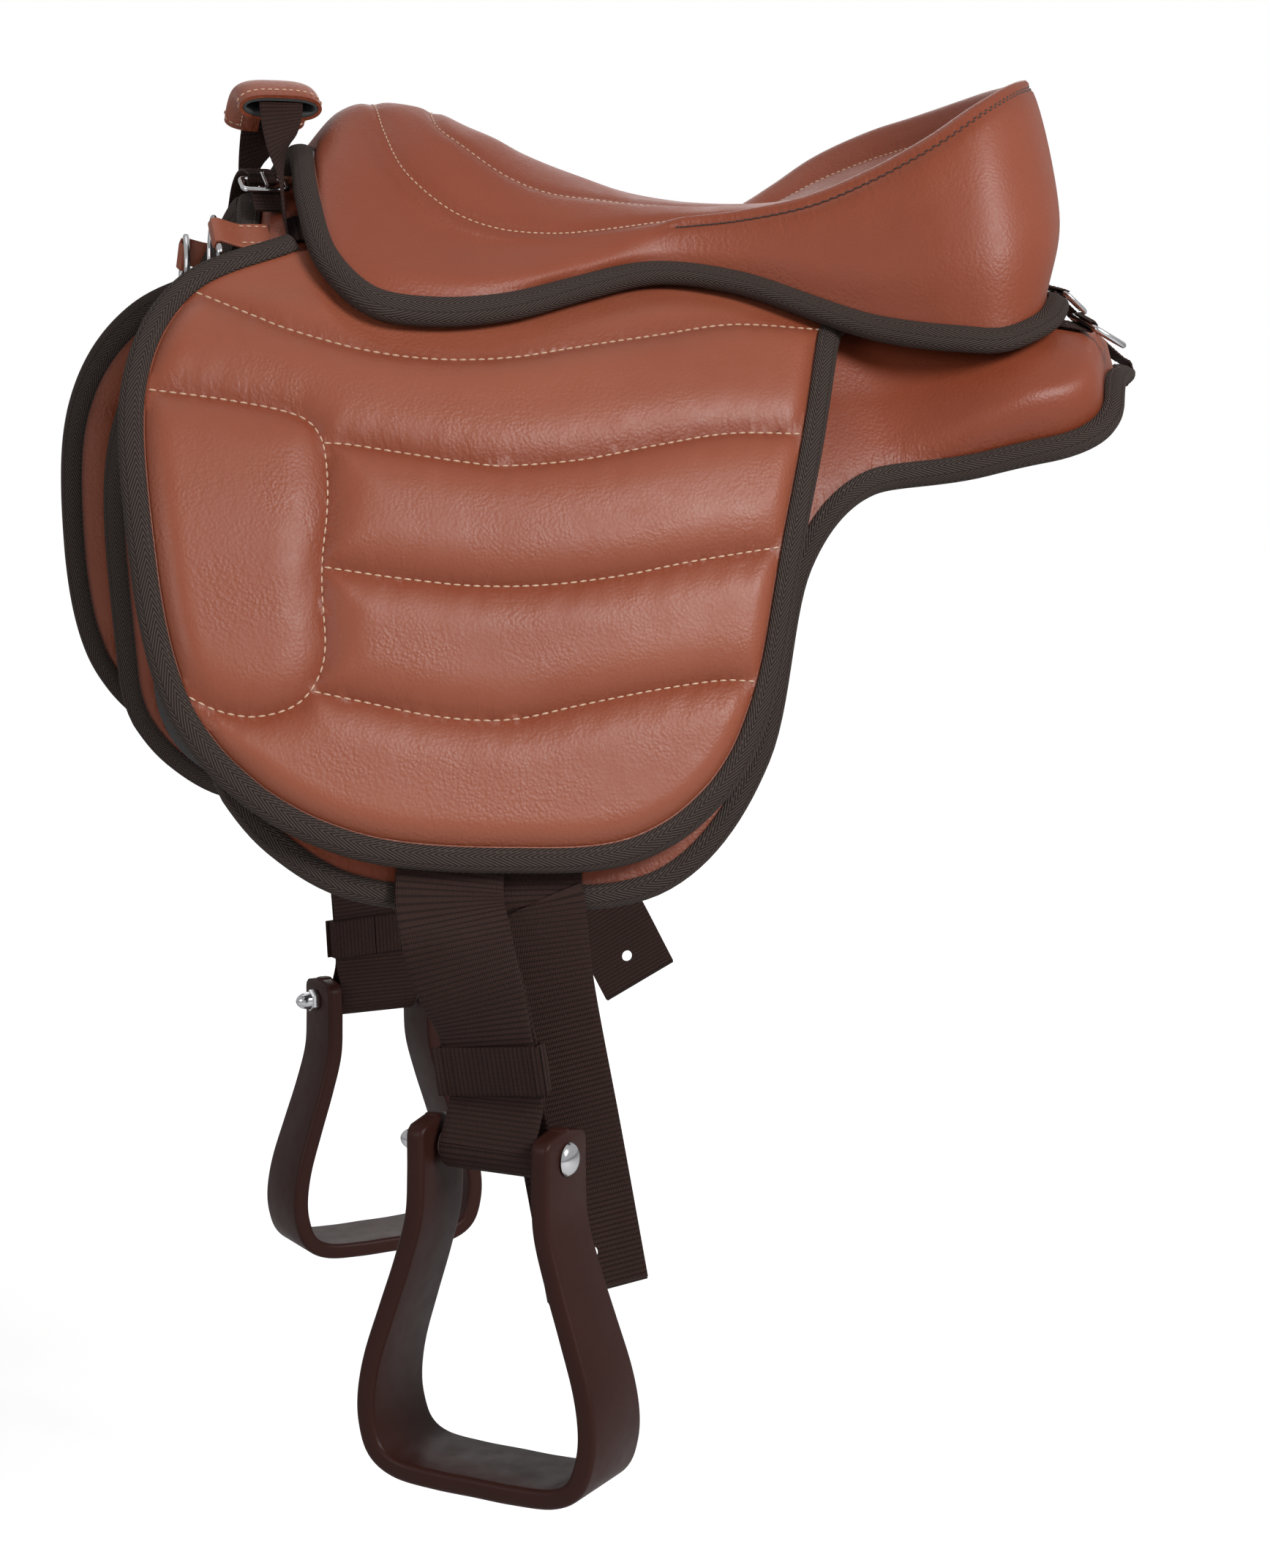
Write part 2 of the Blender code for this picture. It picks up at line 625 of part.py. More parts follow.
def bend_row(net, column):
    """The row between the first seam and the pocket's top that lies on the bend line."""
    low, high = 1.0, 2.0
    for _ in range(30):
        middle = (low + high) / 2
        if net_point(net, column, middle)[1] < BEND_REACH:
            low = middle
        else:
            high = middle
    return low


def swell(share):
    """A quilted channel's rise from 0 at one seam to 1 and back to 0 at the next."""
    return 1 - abs(2 * share - 1) ** 3


def quilting(column, row):
    """Height of the quilting at a place of the flap's net, from 0 at a seam to 1."""
    ends = min(column, 4 - column) / QUILT_FADE_SHARE
    if row < 1:
        return 0.0
    if column <= 1 and 2 <= row <= 4:
        return swell(column) * swell((row - 2) / 2)
    if 2 <= row <= 4:
        ends = min(column - 1, 4 - column) / QUILT_FADE_SHARE
    return swell(row - math.floor(row)) * min(ends, 1.0) if row < 5 else 0.0


def flap(side, hinge):
    """One flap: the sewn upper part and the lower part that lifts."""
    net = flap_net()
    word = side_name(side)
    columns = len(FLAP_COLUMN_STEPS) + 1

    def build(name, row_at, count, parent, bound):
        rows = count if bound else count - 1

        def inner(i, j):
            return net_point(net, FLAP_COLUMN_STEPS[i], row_at(FLAP_COLUMN_STEPS[i], j))
        corner, outward, inner_at = panel_corners(inner, columns, rows if bound else rows + 1, False)

        def place(i, j, top):
            x, reach = corner(i, j)
            height = FLAP_UNDER
            if top:
                height += FLAP_RIM
                if 0 < i < columns and j < count:
                    column = FLAP_COLUMN_STEPS[i - 1]
                    height += FLAP_PUFF * quilting(column, row_at(column, j))
            return back_point(x, side * reach, height)
        slab(name, columns, rows, place, "leather", parent)
        return corner, outward, inner_at

    under, over = FLAP_UNDER, FLAP_UNDER + FLAP_RIM
    top_rows = 6

    def top_row(column, j):
        if j <= 3:
            return j / 3
        return 1 + (bend_row(net, column) - BEND_GAP_SHARE - 1) * (j - 3) / 2
    corner, outward, inner_at = build("flap_top_" + word, top_row, top_rows, None, False)
    for place_word, i in (("front", 0), ("rear", columns)):
        spots = [(i, j) for j in range(top_rows)]
        stations = ring_stations(corner, outward, inner_at, spots)
        tape("flap_top_binding_%s_%s" % (place_word, word), stations, under, over, side)

    def low_row(column, j):
        start = bend_row(net, column) + BEND_GAP_SHARE
        if j < 2:
            return start + (2 - start) * j / 2
        return FLAP_ROW_STEPS[j - 2]
    count = len(FLAP_ROW_STEPS) + 2
    corner, outward, inner_at = build("flap_" + word, low_row, count, hinge, True)
    spots = [(0, j) for j in range(count)] + [(i, count) for i in range(columns + 1)]
    spots += [(columns, j) for j in range(count - 1, -1, -1)]
    stations = ring_stations(corner, outward, inner_at, spots)
    tape("flap_binding_" + word, stations, under, over, side, hinge)


# Seat


def seat_level(x):
    """Height of the seat's underside over the back."""
    return SEAT_LEVEL + (SEAT_LEVEL_REAR - SEAT_LEVEL) * ramp(x, SEAT_LEVEL_START, SEAT_LEVEL_END)


def seat_edge(station):
    """The seat's edge as (x, reach) and its outward direction."""
    line = [np.array((row[0] * SEAT_LENGTH - SEAT_FRONT, row[1] * SEAT_REACH))
            for row in SEAT_SHARES]
    flip = np.array((1, -1))
    line = [line[2] * flip, line[1] * flip] + line + [line[-2] * flip, line[-3] * flip]
    step = 0.02
    spot = spline(line, station + 2)
    along = unit(spline(line, station + 2 + step) - spline(line, station + 2 - step))
    return spot, np.array((-along[1], along[0]))


def seat_section(station):
    """The seat's edge and the points of its outer line up to and past the centre line."""
    rows = np.array(SEAT_SHARES)
    mirror = np.array((1, -1, 1, -1, 1, 1, 1, 1, 1))
    rows = np.vstack([rows[1] * mirror, rows, rows[-2] * mirror])
    row = spline(rows, station + 1)
    edge, outward = seat_edge(station)
    flange = SEAT_FELT + SEAT_FLANGE_GAP + SEAT_LEATHER
    inner = edge - outward * RIM_WIDTH
    ends = [back_point(spot[0], -spot[1], seat_level(spot[0]) + flange) for spot in (edge, inner)]
    rim = np.array((row[2] * SEAT_LENGTH - SEAT_FRONT, -row[3] * SEAT_HALF_WIDTH,
                    row[4] * CANTLE_HEIGHT))
    spine = np.array((row[5] * SEAT_LENGTH - SEAT_FRONT, 0.0, row[6] * CANTLE_HEIGHT))
    away = unit(np.array((outward[0], -outward[1], 0.0)))
    rise = rim - ends[1]
    bulge = ends[1] + rise * SEAT_BULGE_SHARE + away * np.linalg.norm(rise) * SEAT_BULGE_OUT_SHARE
    seams = []
    for share in row[7:9]:
        seam = rim + (spine - rim) * share
        crown = SEAT_POMMEL_CROWN * (1 - ramp(rim[0], POMMEL_CROWN_START, POMMEL_CROWN_END))
        seam[2] = spine[2] + (rim[2] - spine[2]) * (1 - share) ** SEAT_CROWN_POWER
        seam[2] += crown * 4 * share * (1 - share)
        seams.append(seam)
    twin = seams[1] * np.array((1, -1, 1))
    return ends[0], [ends[1], bulge, rim, seams[0], seams[1], spine, twin]


def seat_point(station, step):
    """A point of the seat's outside; step 0 is the inner side of the bound edge, 5 the centre line."""
    edge, line = seat_section(station)
    if step < 0:
        return line[0] + (edge - line[0]) * -step
    return spline(line, step)


def seat_normal(station, step):
    """The outward direction of the seat's surface."""
    small = 0.02
    if step == 5:
        return np.array((0.0, 0.0, 1.0))
    up = seat_point(station, step + small) - seat_point(station, step - small)
    if station in (0, len(SEAT_SHARES) - 1):
        along = np.array((0.0, -1.0 if station == 0 else 1.0, 0.0))
    else:
        along = seat_point(station + small, step) - seat_point(station - small, step)
    return unit(np.cross(along, up))


def seat_grid():
    """Places of the seat's outside for each station and step, from the bound edge inwards."""
    return [[seat_point(i, step) - seat_normal(i, step) * seam_drop(step) for step in SEAT_STEPS]
            for i in range(len(SEAT_SHARES))]


def grid_normal(grid, i, j):
    """The outward direction at a place of the seat's grid, mirrored over the centre plane."""
    flip = np.array((1, -1, 1))
    last, end = len(grid) - 1, len(grid[0]) - 1
    if j == end and i in (0, last):
        return np.array((0.0, 0.0, 1.0))
    before = grid[i - 1][j] if i else grid[1][j] * flip
    after = grid[i + 1][j] if i < last else grid[last - 1][j] * flip
    high = grid[i][j + 1] if j < end else grid[i][j - 1] * flip
    return unit(np.cross(after - before, high - grid[i][j - 1]))


def seam_drop(step):
    """The stitched lines are pulled in by a little."""
    return SEAT_SEAM_DEPTH if step in (3.0, 4.0) else 0.0


def half_sheet(name, columns, rows, place, keep, thickness, kind):
    """An open half surface, mirrored over the centre plane and given its thickness."""
    form = bmesh.new()
    bmesh.ops.create_grid(form, x_segments=columns, y_segments=rows, size=0.5)
    cells = {}
    for face in form.faces:
        middle = face.calc_center_median()
        cells[face] = (math.floor((middle.x + 0.5) * columns), math.floor((middle.y + 0.5) * rows))
    outside = [face for face, cell in cells.items() if not keep(*cell)]
    bmesh.ops.delete(form, geom=outside, context="FACES")
    for vert in form.verts:
        i = round((vert.co.x + 0.5) * columns)
        j = round((vert.co.y + 0.5) * rows)
        vert.co = Vector(place(i, j))
    for face in list(form.faces):
        off = [vert for vert in face.verts if abs(vert.co.y) > CENTRE_TOLERANCE]
        if len(off) == 1:
            far = face.verts[(list(face.verts).index(off[0]) + 2) % 4]
            bmesh.utils.face_split(face, off[0], far)
    bmesh.ops.triangulate(form, faces=form.faces, quad_method="FIXED")
    mesh = bpy.data.meshes.new(name)
    form.to_mesh(mesh)
    form.free()
    made = bpy.data.objects.new(name, mesh)
    saddle.objects.link(made)
    mirror = made.modifiers.new("other half", "MIRROR")
    mirror.use_axis = (False, True, False)
    mirror.merge_threshold = CENTRE_TOLERANCE
    if thickness:
        solidify = made.modifiers.new("thickness", "SOLIDIFY")
        solidify.thickness = abs(thickness)
        solidify.offset = -1 if thickness > 0 else 1
    return finish(made, kind)


def seat():
    """The padded seat: leather, cantle leather, foam, underside and edge tape."""
    stations = len(SEAT_SHARES) - 1
    steps = (-1.0,) + SEAT_STEPS

    def cover_place(i, j):
        return seat_point(i, steps[j]) - seat_normal(i, steps[j]) * seam_drop(steps[j])

    def cantle_place(i, j):
        spot = cover_place(i, j)
        return spot + (cover_place(i + 1, j) - spot) * SEAM_SHARE if i == CANTLE_STATION else spot

    def top_place(i, j):
        spot = cover_place(i, j)
        on_seam = j == SEAT_RIM_STEP + 1 and i >= CANTLE_STATION
        return spot + (cover_place(i, j + 1) - spot) * SEAM_SHARE * 3 if on_seam else spot

    def in_cantle(i, j):
        return i >= CANTLE_STATION and j <= SEAT_RIM_STEP
    half_sheet("seat_cover", stations, len(steps) - 1, top_place,
               lambda i, j: not in_cantle(i, j), SEAT_LEATHER, "leather")
    half_sheet("cantle_cover", stations, len(steps) - 1, cantle_place, in_cantle, SEAT_LEATHER,
               "leather")

    grid = seat_grid()
    depth = SEAT_LEATHER + FOAM_CLEARANCE

    def floor_point(i, k, level):
        edge, outward = seat_edge(i)
        inner = edge - outward * (RIM_WIDTH + FLOOR_INSET)
        spine_x = SEAT_SHARES[i][5] * SEAT_LENGTH - SEAT_FRONT
        spot = inner + (np.array((spine_x, 0.0)) - inner) * k / SEAT_FLOOR_STEPS
        return back_point(spot[0], -spot[1], seat_level(spot[0]) + level)

    def foam_place(i, j):
        if j > SEAT_FLOOR_STEPS:
            step = j - SEAT_FLOOR_STEPS
            sunk = depth + (FOAM_RIM_DROP if SEAT_STEPS[step] == 2 else 0)
            return grid[i][step] - grid_normal(grid, i, step) * sunk
        return floor_point(i, SEAT_FLOOR_STEPS - j, SEAT_FELT + FLOOR_CLEARANCE)
    half_sheet("seat_foam", stations, len(SEAT_STEPS) - 1 + SEAT_FLOOR_STEPS, foam_place,
               lambda i, j: True, 0, "foam")

    def felt_place(i, j):
        if j <= SEAT_FLOOR_STEPS:
            return floor_point(i, SEAT_FLOOR_STEPS - j, 0.0)
        edge, outward = seat_edge(i)
        spot = edge - outward * SEAT_FELT
        return back_point(spot[0], -spot[1], seat_level(spot[0]))
    half_sheet("seat_underside", stations, SEAT_FLOOR_STEPS + 1, felt_place, lambda i, j: True,
               SEAT_FELT, "felt")

    around = []
    for i in range(stations, -1, -1):
        spot, outward = seat_edge(i)
        around.append((spot, outward, 1))
    around = around + [(spot, outward, -1) for spot, outward, _ in reversed(around[:-1])]
    flange = SEAT_FELT + SEAT_FLANGE_GAP + SEAT_LEATHER

    def tape_place(i, j, top):
        rim, outward, side = around[j]
        extra = TAPE_GAP + (TAPE_THICKNESS if top else 0.0)
        level = seat_level(rim[0])
        level += -extra - GAP if i < 2 else flange + extra + GAP
        if i in (1, 2):
            spot = rim + outward * extra
            made = back_point(spot[0], side * spot[1], level)
        else:
            inner = rim - outward * RIM_WIDTH
            ends = [back_point(spot[0], side * spot[1], level) for spot in (rim, inner)]
            made = ends[0] + (ends[1] - ends[0]) * TAPE_LIP_SHARE
        if j in (0, len(around) - 1):
            made[1] = GAP / 2 * (1 if j == 0 else -1)
        return made
    slab("seat_binding", 3, len(around) - 1, tape_place, "tape")


# Straps, rings and buckles


def band(name, points, across, width, thickness, kind, parent=None):
    """A flat strap through centre points; across is one direction or one for each point."""
    points = [np.asarray(point, float) for point in points]
    frames = []
    for k, point in enumerate(points):
        before, after = points[max(k - 1, 0)], points[min(k + 1, len(points) - 1)]
        wide = unit(np.asarray(across[k] if isinstance(across, list) else across, float))
        frames.append((point, wide, unit(np.cross(wide, after - before))))
    return ribbon(name, frames, width, thickness, kind, parent)


def arc(centre, a, b, radius, start, end, steps):
    """Points round a centre from start to end degrees, a and b being the two axes."""
    made = []
    for k in range(steps + 1):
        angle = math.radians(start + (end - start) * k / steps)
        made.append(centre + a * radius * math.cos(angle) + b * radius * math.sin(angle))
    return made


def d_ring(name, centre, across, down, parent):
    """A D-shaped ring: a straight bar through the centre with the bow on its down side."""
    half = D_RING_WIDTH / 2
    bow = D_RING_HEIGHT - half
    points = [centre - across * half, centre + across * half]
    points += arc(centre + down * bow, across, down, half, 0, 180, 8)
    return wire(name, points, WIRE_RADIUS, "chrome", parent)


def patch_axes(x, reach, level):
    """A place over the back with its lengthwise, sideways and outward directions."""
    here = back_point(x, reach, level)
    along = unit(back_point(x + PROBE, reach, level) - back_point(x - PROBE, reach, level))
    across = unit(back_point(x, reach + PROBE, level) - back_point(x, reach - PROBE, level))
    return here, along, across, unit(np.cross(along, across))


def ring_and_tab(word, side, x, reach, facing, hang, tab_kind, tab_level, bar_level):
    """A D-ring in a folded tab; facing is +1 towards the cantle and hang the ring's drop."""
    name = side_name(side)
    bar, along, across, out = patch_axes(x, side * reach, bar_level)
    along = along * facing
    inner = WIRE_RADIUS + GAP + TAB_THICKNESS / 2
    loop = arc(bar, along, out, inner, -100 * facing, 130 * facing, 7)
    root = back_point(x - facing * TAB_LENGTH, side * reach, tab_level)
    back = back_point(x - facing * TAB_LENGTH * TAB_FOLD_SHARE, side * reach, tab_level)
    points = [root, back] + loop
    band("%s_ring_tab_%s" % (word, name), points, across, TAB_WIDTH, TAB_THICKNESS, tab_kind)
    hinge = pivot("%s_ring_pivot_%s" % (word, name), bar)
    down = unit(along * math.cos(hang) - out * math.sin(hang))
    d_ring("%s_ring_%s" % (word, name), bar, across, down, hinge)


def hand_strap():
    """The grab strap at the pommel: webbing through a lined leather grip."""
    centre = np.array((GRIP_X, 0.0, GRIP_TOP - GRIP_RADIUS))
    a, b = np.array((0.0, 1.0, 0.0)), np.array((0.0, 0.0, 1.0))
    forward = np.array((1.0, 0.0, 0.0))
    span = math.degrees(GRIP_HALF_SPAN / GRIP_RADIUS)
    rows, columns = 4, 12

    def shell(inset, thickness):
        def place(i, j, top):
            angle = math.radians(90 + span - 2 * span * j / rows)
            spine = centre + (a * math.cos(angle) + b * math.sin(angle)) * GRIP_RADIUS
            out = a * math.cos(angle) + b * math.sin(angle)
            turn = math.radians(-90 + GRIP_SLIT + (360 - 2 * GRIP_SLIT) * i / columns)
            wide = GRIP_WIDTH / 2 - inset - (0 if top else thickness)
            high = GRIP_THICKNESS / 2 - inset - (0 if top else thickness)
            flat = abs(math.cos(turn)) ** GRIP_SQUARENESS * (1 if math.cos(turn) > 0 else -1)
            return spine + forward * wide * flat + out * high * math.sin(turn)
        return place
    slab("handle_grip", columns, rows, shell(0, GRIP_LEATHER), "leather")
    lining = shell(GRIP_LEATHER + GAP, GRIP_LINING)
    slab("handle_lining", columns, rows, lining, "lining")
    level = GRIP_THICKNESS / 2 - GRIP_LEATHER - GRIP_LINING - GRIP_SLACK - STRAP_THICKNESS / 2
    half = arc(centre, a, b, GRIP_RADIUS + level, 90, 90 - span, 4)
    foot = [back_point(GRIP_X + x * GRIP_WIDTH, reach * HAND_FOOT_REACH, HAND_FOOT_LEVEL)
            for x, reach in HAND_FOOT_SHARES]
    legs = [np.array((GRIP_X + x * GRIP_WIDTH, y * GRIP_RADIUS, z * GRIP_TOP))
            for x, y, z in HAND_LEG_SHARES]
    points = half + legs + foot
    wides = [forward] * len(half)
    flat = -patch_axes(foot[-1][0], HAND_FOOT_REACH, HAND_FOOT_LEVEL)[2]
    for share in HAND_TWIST_SHARES:
        turn = math.radians(90) * share
        wides.append(forward * math.cos(turn) + flat * math.sin(turn))
    wides += [flat] * (len(points) - len(wides))
    flip = np.array((1, -1, 1))
    mirror_points = [point * flip for point in reversed(points[1:])]
    mirror_wides = [wide * flip for wide in reversed(wides[1:])]
    band("handle_strap", mirror_points + points, mirror_wides + wides, HAND_STRAP_WIDTH,
         STRAP_THICKNESS, "webbing")


def buckle(word, bar, wide, run, out):
    """A buckle: the frame hangs on its bar and the tongue turns on it. Returns the far bar."""
    far = bar + run * BUCKLE_LENGTH
    half = BUCKLE_WIDTH / 2
    corners = [bar - wide * half, bar + wide * half, far + wide * half, far - wide * half]
    points = []
    for k, corner in enumerate(corners):
        for other in (corners[k - 1], corners[(k + 1) % 4]):
            points.append(corner + unit(other - corner) * RING_CORNER)
    wire(word + "_buckle_frame", points, BUCKLE_WIRE, "chrome")
    hinge = pivot(word + "_tongue_pivot", bar)
    eye = arc(bar, run, out, BUCKLE_WIRE + TONGUE_WIRE + GAP * 2, 250, 60, 6)
    tip = far + run * TONGUE_WIRE * 2 + out * (BUCKLE_WIRE + GAP + TONGUE_WIRE)
    wire(word + "_buckle_tongue", eye + [tip], TONGUE_WIRE, "chrome", hinge, closed=False)
    return far


def upper_strap(word, bar, wide, run, out, course):
    """The strap that holds a buckle: it loops round the bar, with a slot for the tongue."""
    radius = BUCKLE_WIRE + GAP + STRAP_THICKNESS / 2
    loop = arc(bar, -run, out, radius, 90, 290, 7)
    points = course + loop + [loop[-1] - run * STRAP_RETURN]
    strap = band(word + "_strap_upper", points, wide, STRAP_WIDTH, STRAP_THICKNESS, "webbing")
    sizes = (SLOT_WIDTH, radius * 4, radius * 4)
    cutter = box(word + "_slot", bar, wide, run, out, sizes)
    cut(strap, cutter)
    return strap


def box(name, centre, a, b, c, sizes):
    """A cutter with the given centre, axes and sizes."""
    form = bmesh.new()
    bmesh.ops.create_cube(form, size=1)
    for vert in form.verts:
        x, y, z = (value * size for value, size in zip(vert.co, sizes))
        vert.co = Vector(centre + a * x + b * y + c * z)
    return as_cutter(name, form)


def drill(name, centre, axis, radius, length):
    """A round cutter along an axis."""
    form = bmesh.new()
    turn = Vector(axis).to_track_quat("Z", "Y").to_matrix().to_4x4()
    place = Matrix.Translation(Vector(centre)) @ turn
    bmesh.ops.create_cone(form, cap_ends=True, segments=16, radius1=radius, radius2=radius,
                          depth=length, matrix=place)
    return as_cutter(name, form)


def as_cutter(name, form):
    """A hidden object for Booleans."""
    face_outwards(form)
    mesh = bpy.data.meshes.new(name)
    form.to_mesh(mesh)
    form.free()
    made = bpy.data.objects.new(name, mesh)
    cutters.objects.link(made)
    made.hide_render = True
    made.display_type = "WIRE"
    return made


def cut(thing, cutter):
    """Take the cutter out of a piece."""
    boolean = thing.modifiers.new(cutter.name, "BOOLEAN")
    boolean.operation = "DIFFERENCE"
    boolean.solver = "EXACT"
    boolean.object = cutter


def front_strap():
    """The short strap that closes the base over the withers, with its buckle."""
    bar, along, across, out = patch_axes(FRONT_STRAP_X, FRONT_BAR_REACH, FRONT_BAR_LEVEL)
    run = -across
    far = buckle("front", bar, along, run, out)
    top = BUCKLE_WIRE + GAP + STRAP_THICKNESS / 2
    upper, lower = [[back_point(FRONT_STRAP_X, reach * FRONT_STRAP_REACH, level * FRONT_BAR_LEVEL)
                     for reach, level in shares] for shares in (FRONT_UPPER_SHARES, FRONT_LOWER_SHARES)]
    upper_strap("front", bar, along, run, out, upper)
    tip = bar + run * (top * 2 + STRAP_THICKNESS) - out * top
    band("front_strap_lower", [tip, far - out * top] + lower, along, STRAP_WIDTH, STRAP_THICKNESS,
         "webbing")


def rear_strap():
    """The strap from the cantle to the back edge of the base, with its buckle."""
    bar = np.array((SEAT_LENGTH - SEAT_FRONT + REAR_BAR_BEHIND, 0.0, REAR_BAR_Z))
    wide = np.array((0.0, 1.0, 0.0))
    run = np.array((math.cos(REAR_BUCKLE_SLOPE), 0.0, -math.sin(REAR_BUCKLE_SLOPE)))
    out = np.array((math.sin(REAR_BUCKLE_SLOPE), 0.0, math.cos(REAR_BUCKLE_SLOPE)))
    far = buckle("rear", bar, wide, run, out)
    top = BUCKLE_WIRE + GAP + STRAP_THICKNESS / 2
    last = len(SEAT_SHARES) - 1
    course = []
    for step in (REAR_STRAP_STEP * 2, REAR_STRAP_STEP):
        away = REAR_STRAP_STANDOFF + STRAP_THICKNESS / 2
        spot = seat_point(last, step) + seat_normal(last, step) * away
        course.append(spot * np.array((1, 0, 1)))
    upper_strap("rear", bar, wide, run, out, course)
    tip = bar + run * (top * 2 + STRAP_THICKNESS) - out * top
    points = [tip, far - out * top]
    points += [bar + np.array((x, 0.0, z)) * REAR_STRAP_DROP for x, z in REAR_LOWER_SHARES]
    band("rear_strap_lower", points, wide, STRAP_WIDTH, STRAP_THICKNESS, "webbing")


# Stirrups and billets


def hanging_course(side, start, over, level, below, out, drop):
    """Points of a strap that lies on the pad from its start and then hangs free."""
    points = []
    for x, reach in over[side]:
        place = start[0] + x * WEBBING_WIDTH, start[1] + reach * (PAD_REACH - start[1])
        points.append(back_point(place[0], side * place[1], level))
    last = points[-1]
    for x, away, down in below[side]:
        points.append(last + np.array((x * WEBBING_WIDTH, side * away * out, -down * drop)))
    return np.array(points)


def leather_course(side):
    """Points and turns down the middle of a stirrup leather, with the distances between them."""
    points = hanging_course(side, (RING_X, RING_REACH), LEATHER_OVER_SHARES, LEATHER_LEVEL,
                            LEATHER_BELOW_SHARES, LEATHER_OUT, LEATHER_DROP[side])
    lengths = np.linalg.norm(points[1:] - points[:-1], axis=1)
    return points, LEATHER_TURNS[side], np.concatenate(([0.0], np.cumsum(lengths)))


def leather_frame(side, at):
    """Centre, across, down and out of the stirrup leather at a distance from its ring."""
    points, turns, marks = leather_course(side)

    def centre(distance):
        inside = min(max(distance, 0.0), marks[-1])
        spot = spline(points, np.interp(inside, marks, range(len(marks))))
        over = distance - inside
        if over:
            ends = (points[0], points[1]) if over < 0 else (points[-2], points[-1])
            spot = spot + unit(ends[1] - ends[0]) * over
        return spot
    down = unit(centre(at + PROBE) - centre(at - PROBE))
    turn = math.radians(np.interp(at, marks, turns))
    across = np.array((math.cos(turn), side * math.sin(turn), 0.0))
    across = unit(across - down * np.dot(across, down))
    return centre(at), across, down, unit(np.cross(across, down)) * side


def leather_point(side, at, aside, off):
    """A place beside the leather's middle: aside along its width, off outwards."""
    centre, across, down, out = leather_frame(side, at)
    return centre + across * aside + out * off


def leather_length(side):
    """Distance along the leather from its ring to the bolt."""
    return leather_course(side)[2][-1]


def loop_course(centre, radius, flare, half, towards, steps):
    """(distance, off) points round a bar between the two plies, which part at the flare."""
    lean = math.degrees(math.acos(radius / math.hypot(flare, half)) + math.atan2(half, flare))
    made = []
    for k in range(steps + 1):
        angle = math.radians((180 - lean) * (1 - 2 * k / steps))
        made.append((centre + towards * radius * math.cos(angle), radius * math.sin(angle)))
    return made


def stirrup_leather(side, swing):
    """The leather: a long loop round the ring and the stirrup's sleeve, closed butt to butt."""
    length = leather_length(side)
    half = (LEATHER_THICKNESS + PLY_GAP) / 2
    bar = RING_WIRE + GAP + LEATHER_THICKNESS / 2
    tube = SLEEVE_RADIUS + GAP * 2 + LEATHER_THICKNESS / 2
    butt = length - BUTT_ABOVE_BOLT
    lower = length - SLEEVE_FLARE
    up = np.linspace(butt, RING_FLARE, LEATHER_STEPS[0])
    down = np.linspace(RING_FLARE, lower, LEATHER_STEPS[1])
    back = np.linspace(lower, butt + GAP * 2, LEATHER_STEPS[2])
    course = [(at, -half) for at in up]
    course += [(at, -off) for at, off in loop_course(0.0, bar, RING_FLARE, half, -1, 6)]
    course += [(at, half) for at in down]
    course += loop_course(length, tube, SLEEVE_FLARE, half, 1, 10)
    course += [(at, -half) for at in back]

    def place(i, j, top):
        at, off = course[j]
        before, after = course[max(j - 1, 0)], course[min(j + 1, len(course) - 1)]
        run = unit(np.array(after) - np.array(before))
        extra = LEATHER_THICKNESS * (0.5 if top else -0.5)
        aside = WEBBING_WIDTH * (i - 0.5)
        return leather_point(side, at - run[1] * extra, aside, off + run[0] * extra)
    slab("stirrup_leather_" + side_name(side), 1, len(course) - 1, place, "webbing", swing)


def hanger_and_ring(side, swing):
    """The short webbing loop on the base pad and the steel ring it carries."""
    name = side_name(side)
    half = RING_WIDTH / 2
    c = RING_CORNER
    spots = ((half - c, 0), (half, -c), (half, c - RING_HEIGHT), (half - c, -RING_HEIGHT))
    ring = [leather_point(side, at, aside, 0.0) for aside, at in spots]
    ring += [leather_point(side, at, -aside, 0.0) for aside, at in reversed(spots)]
    wire("stirrup_ring_" + name, ring, RING_WIRE, "chrome", swing)
    radius = RING_WIRE + HANGER_CLEARANCE + STRAP_THICKNESS / 2
    top = RING_REACH - RING_HEIGHT
    slack = top + HANGER_SLACK
    course = [(HANGER_TOP_REACH, -radius), ((HANGER_TOP_REACH + top) / 2, -radius),
              (top, -radius)]
    for k in range(7):
        angle = math.radians(-90 + 180 * k / 6)
        course.append((slack + radius * math.cos(angle), radius * math.sin(angle)))
    ply = -radius + STRAP_THICKNESS + GAP
    course += [(top - HANGER_SLACK * 2, radius), (top - RING_HEIGHT, ply), (HANGER_TOP_REACH, ply)]
    points = [back_point(RING_X, side * reach, LEATHER_LEVEL + off) for reach, off in course]
    across = leather_frame(side, -RING_HEIGHT)[1]
    band("stirrup_hanger_" + name, points, across, HANGER_WIDTH, STRAP_THICKNESS, "webbing")


def keeper(side, slide):
    """The sliding loop that holds the two plies of a leather together."""
    middle = leather_length(side) - KEEPER_ABOVE_BOLT
    wide = WEBBING_WIDTH / 2 + KEEPER_CLEARANCE
    high = LEATHER_THICKNESS + PLY_GAP / 2 + KEEPER_CLEARANCE
    ring = [(GAP, -high), (wide, -high), (wide, high), (-wide, high), (-wide, -high), (-GAP, -high)]
    pushes = [(0, -1), (1, -1), (1, 1), (-1, 1), (-1, -1), (0, -1)]

    def place(i, j, top):
        grow = KEEPER_THICKNESS if top else 0.0
        aside = ring[j][0] + pushes[j][0] * grow
        off = ring[j][1] + pushes[j][1] * grow
        return leather_point(side, middle + KEEPER_LENGTH * (i / 2 - 0.5), aside, off)
    slab("keeper_" + side_name(side), 2, len(ring) - 1, place, "webbing", slide)


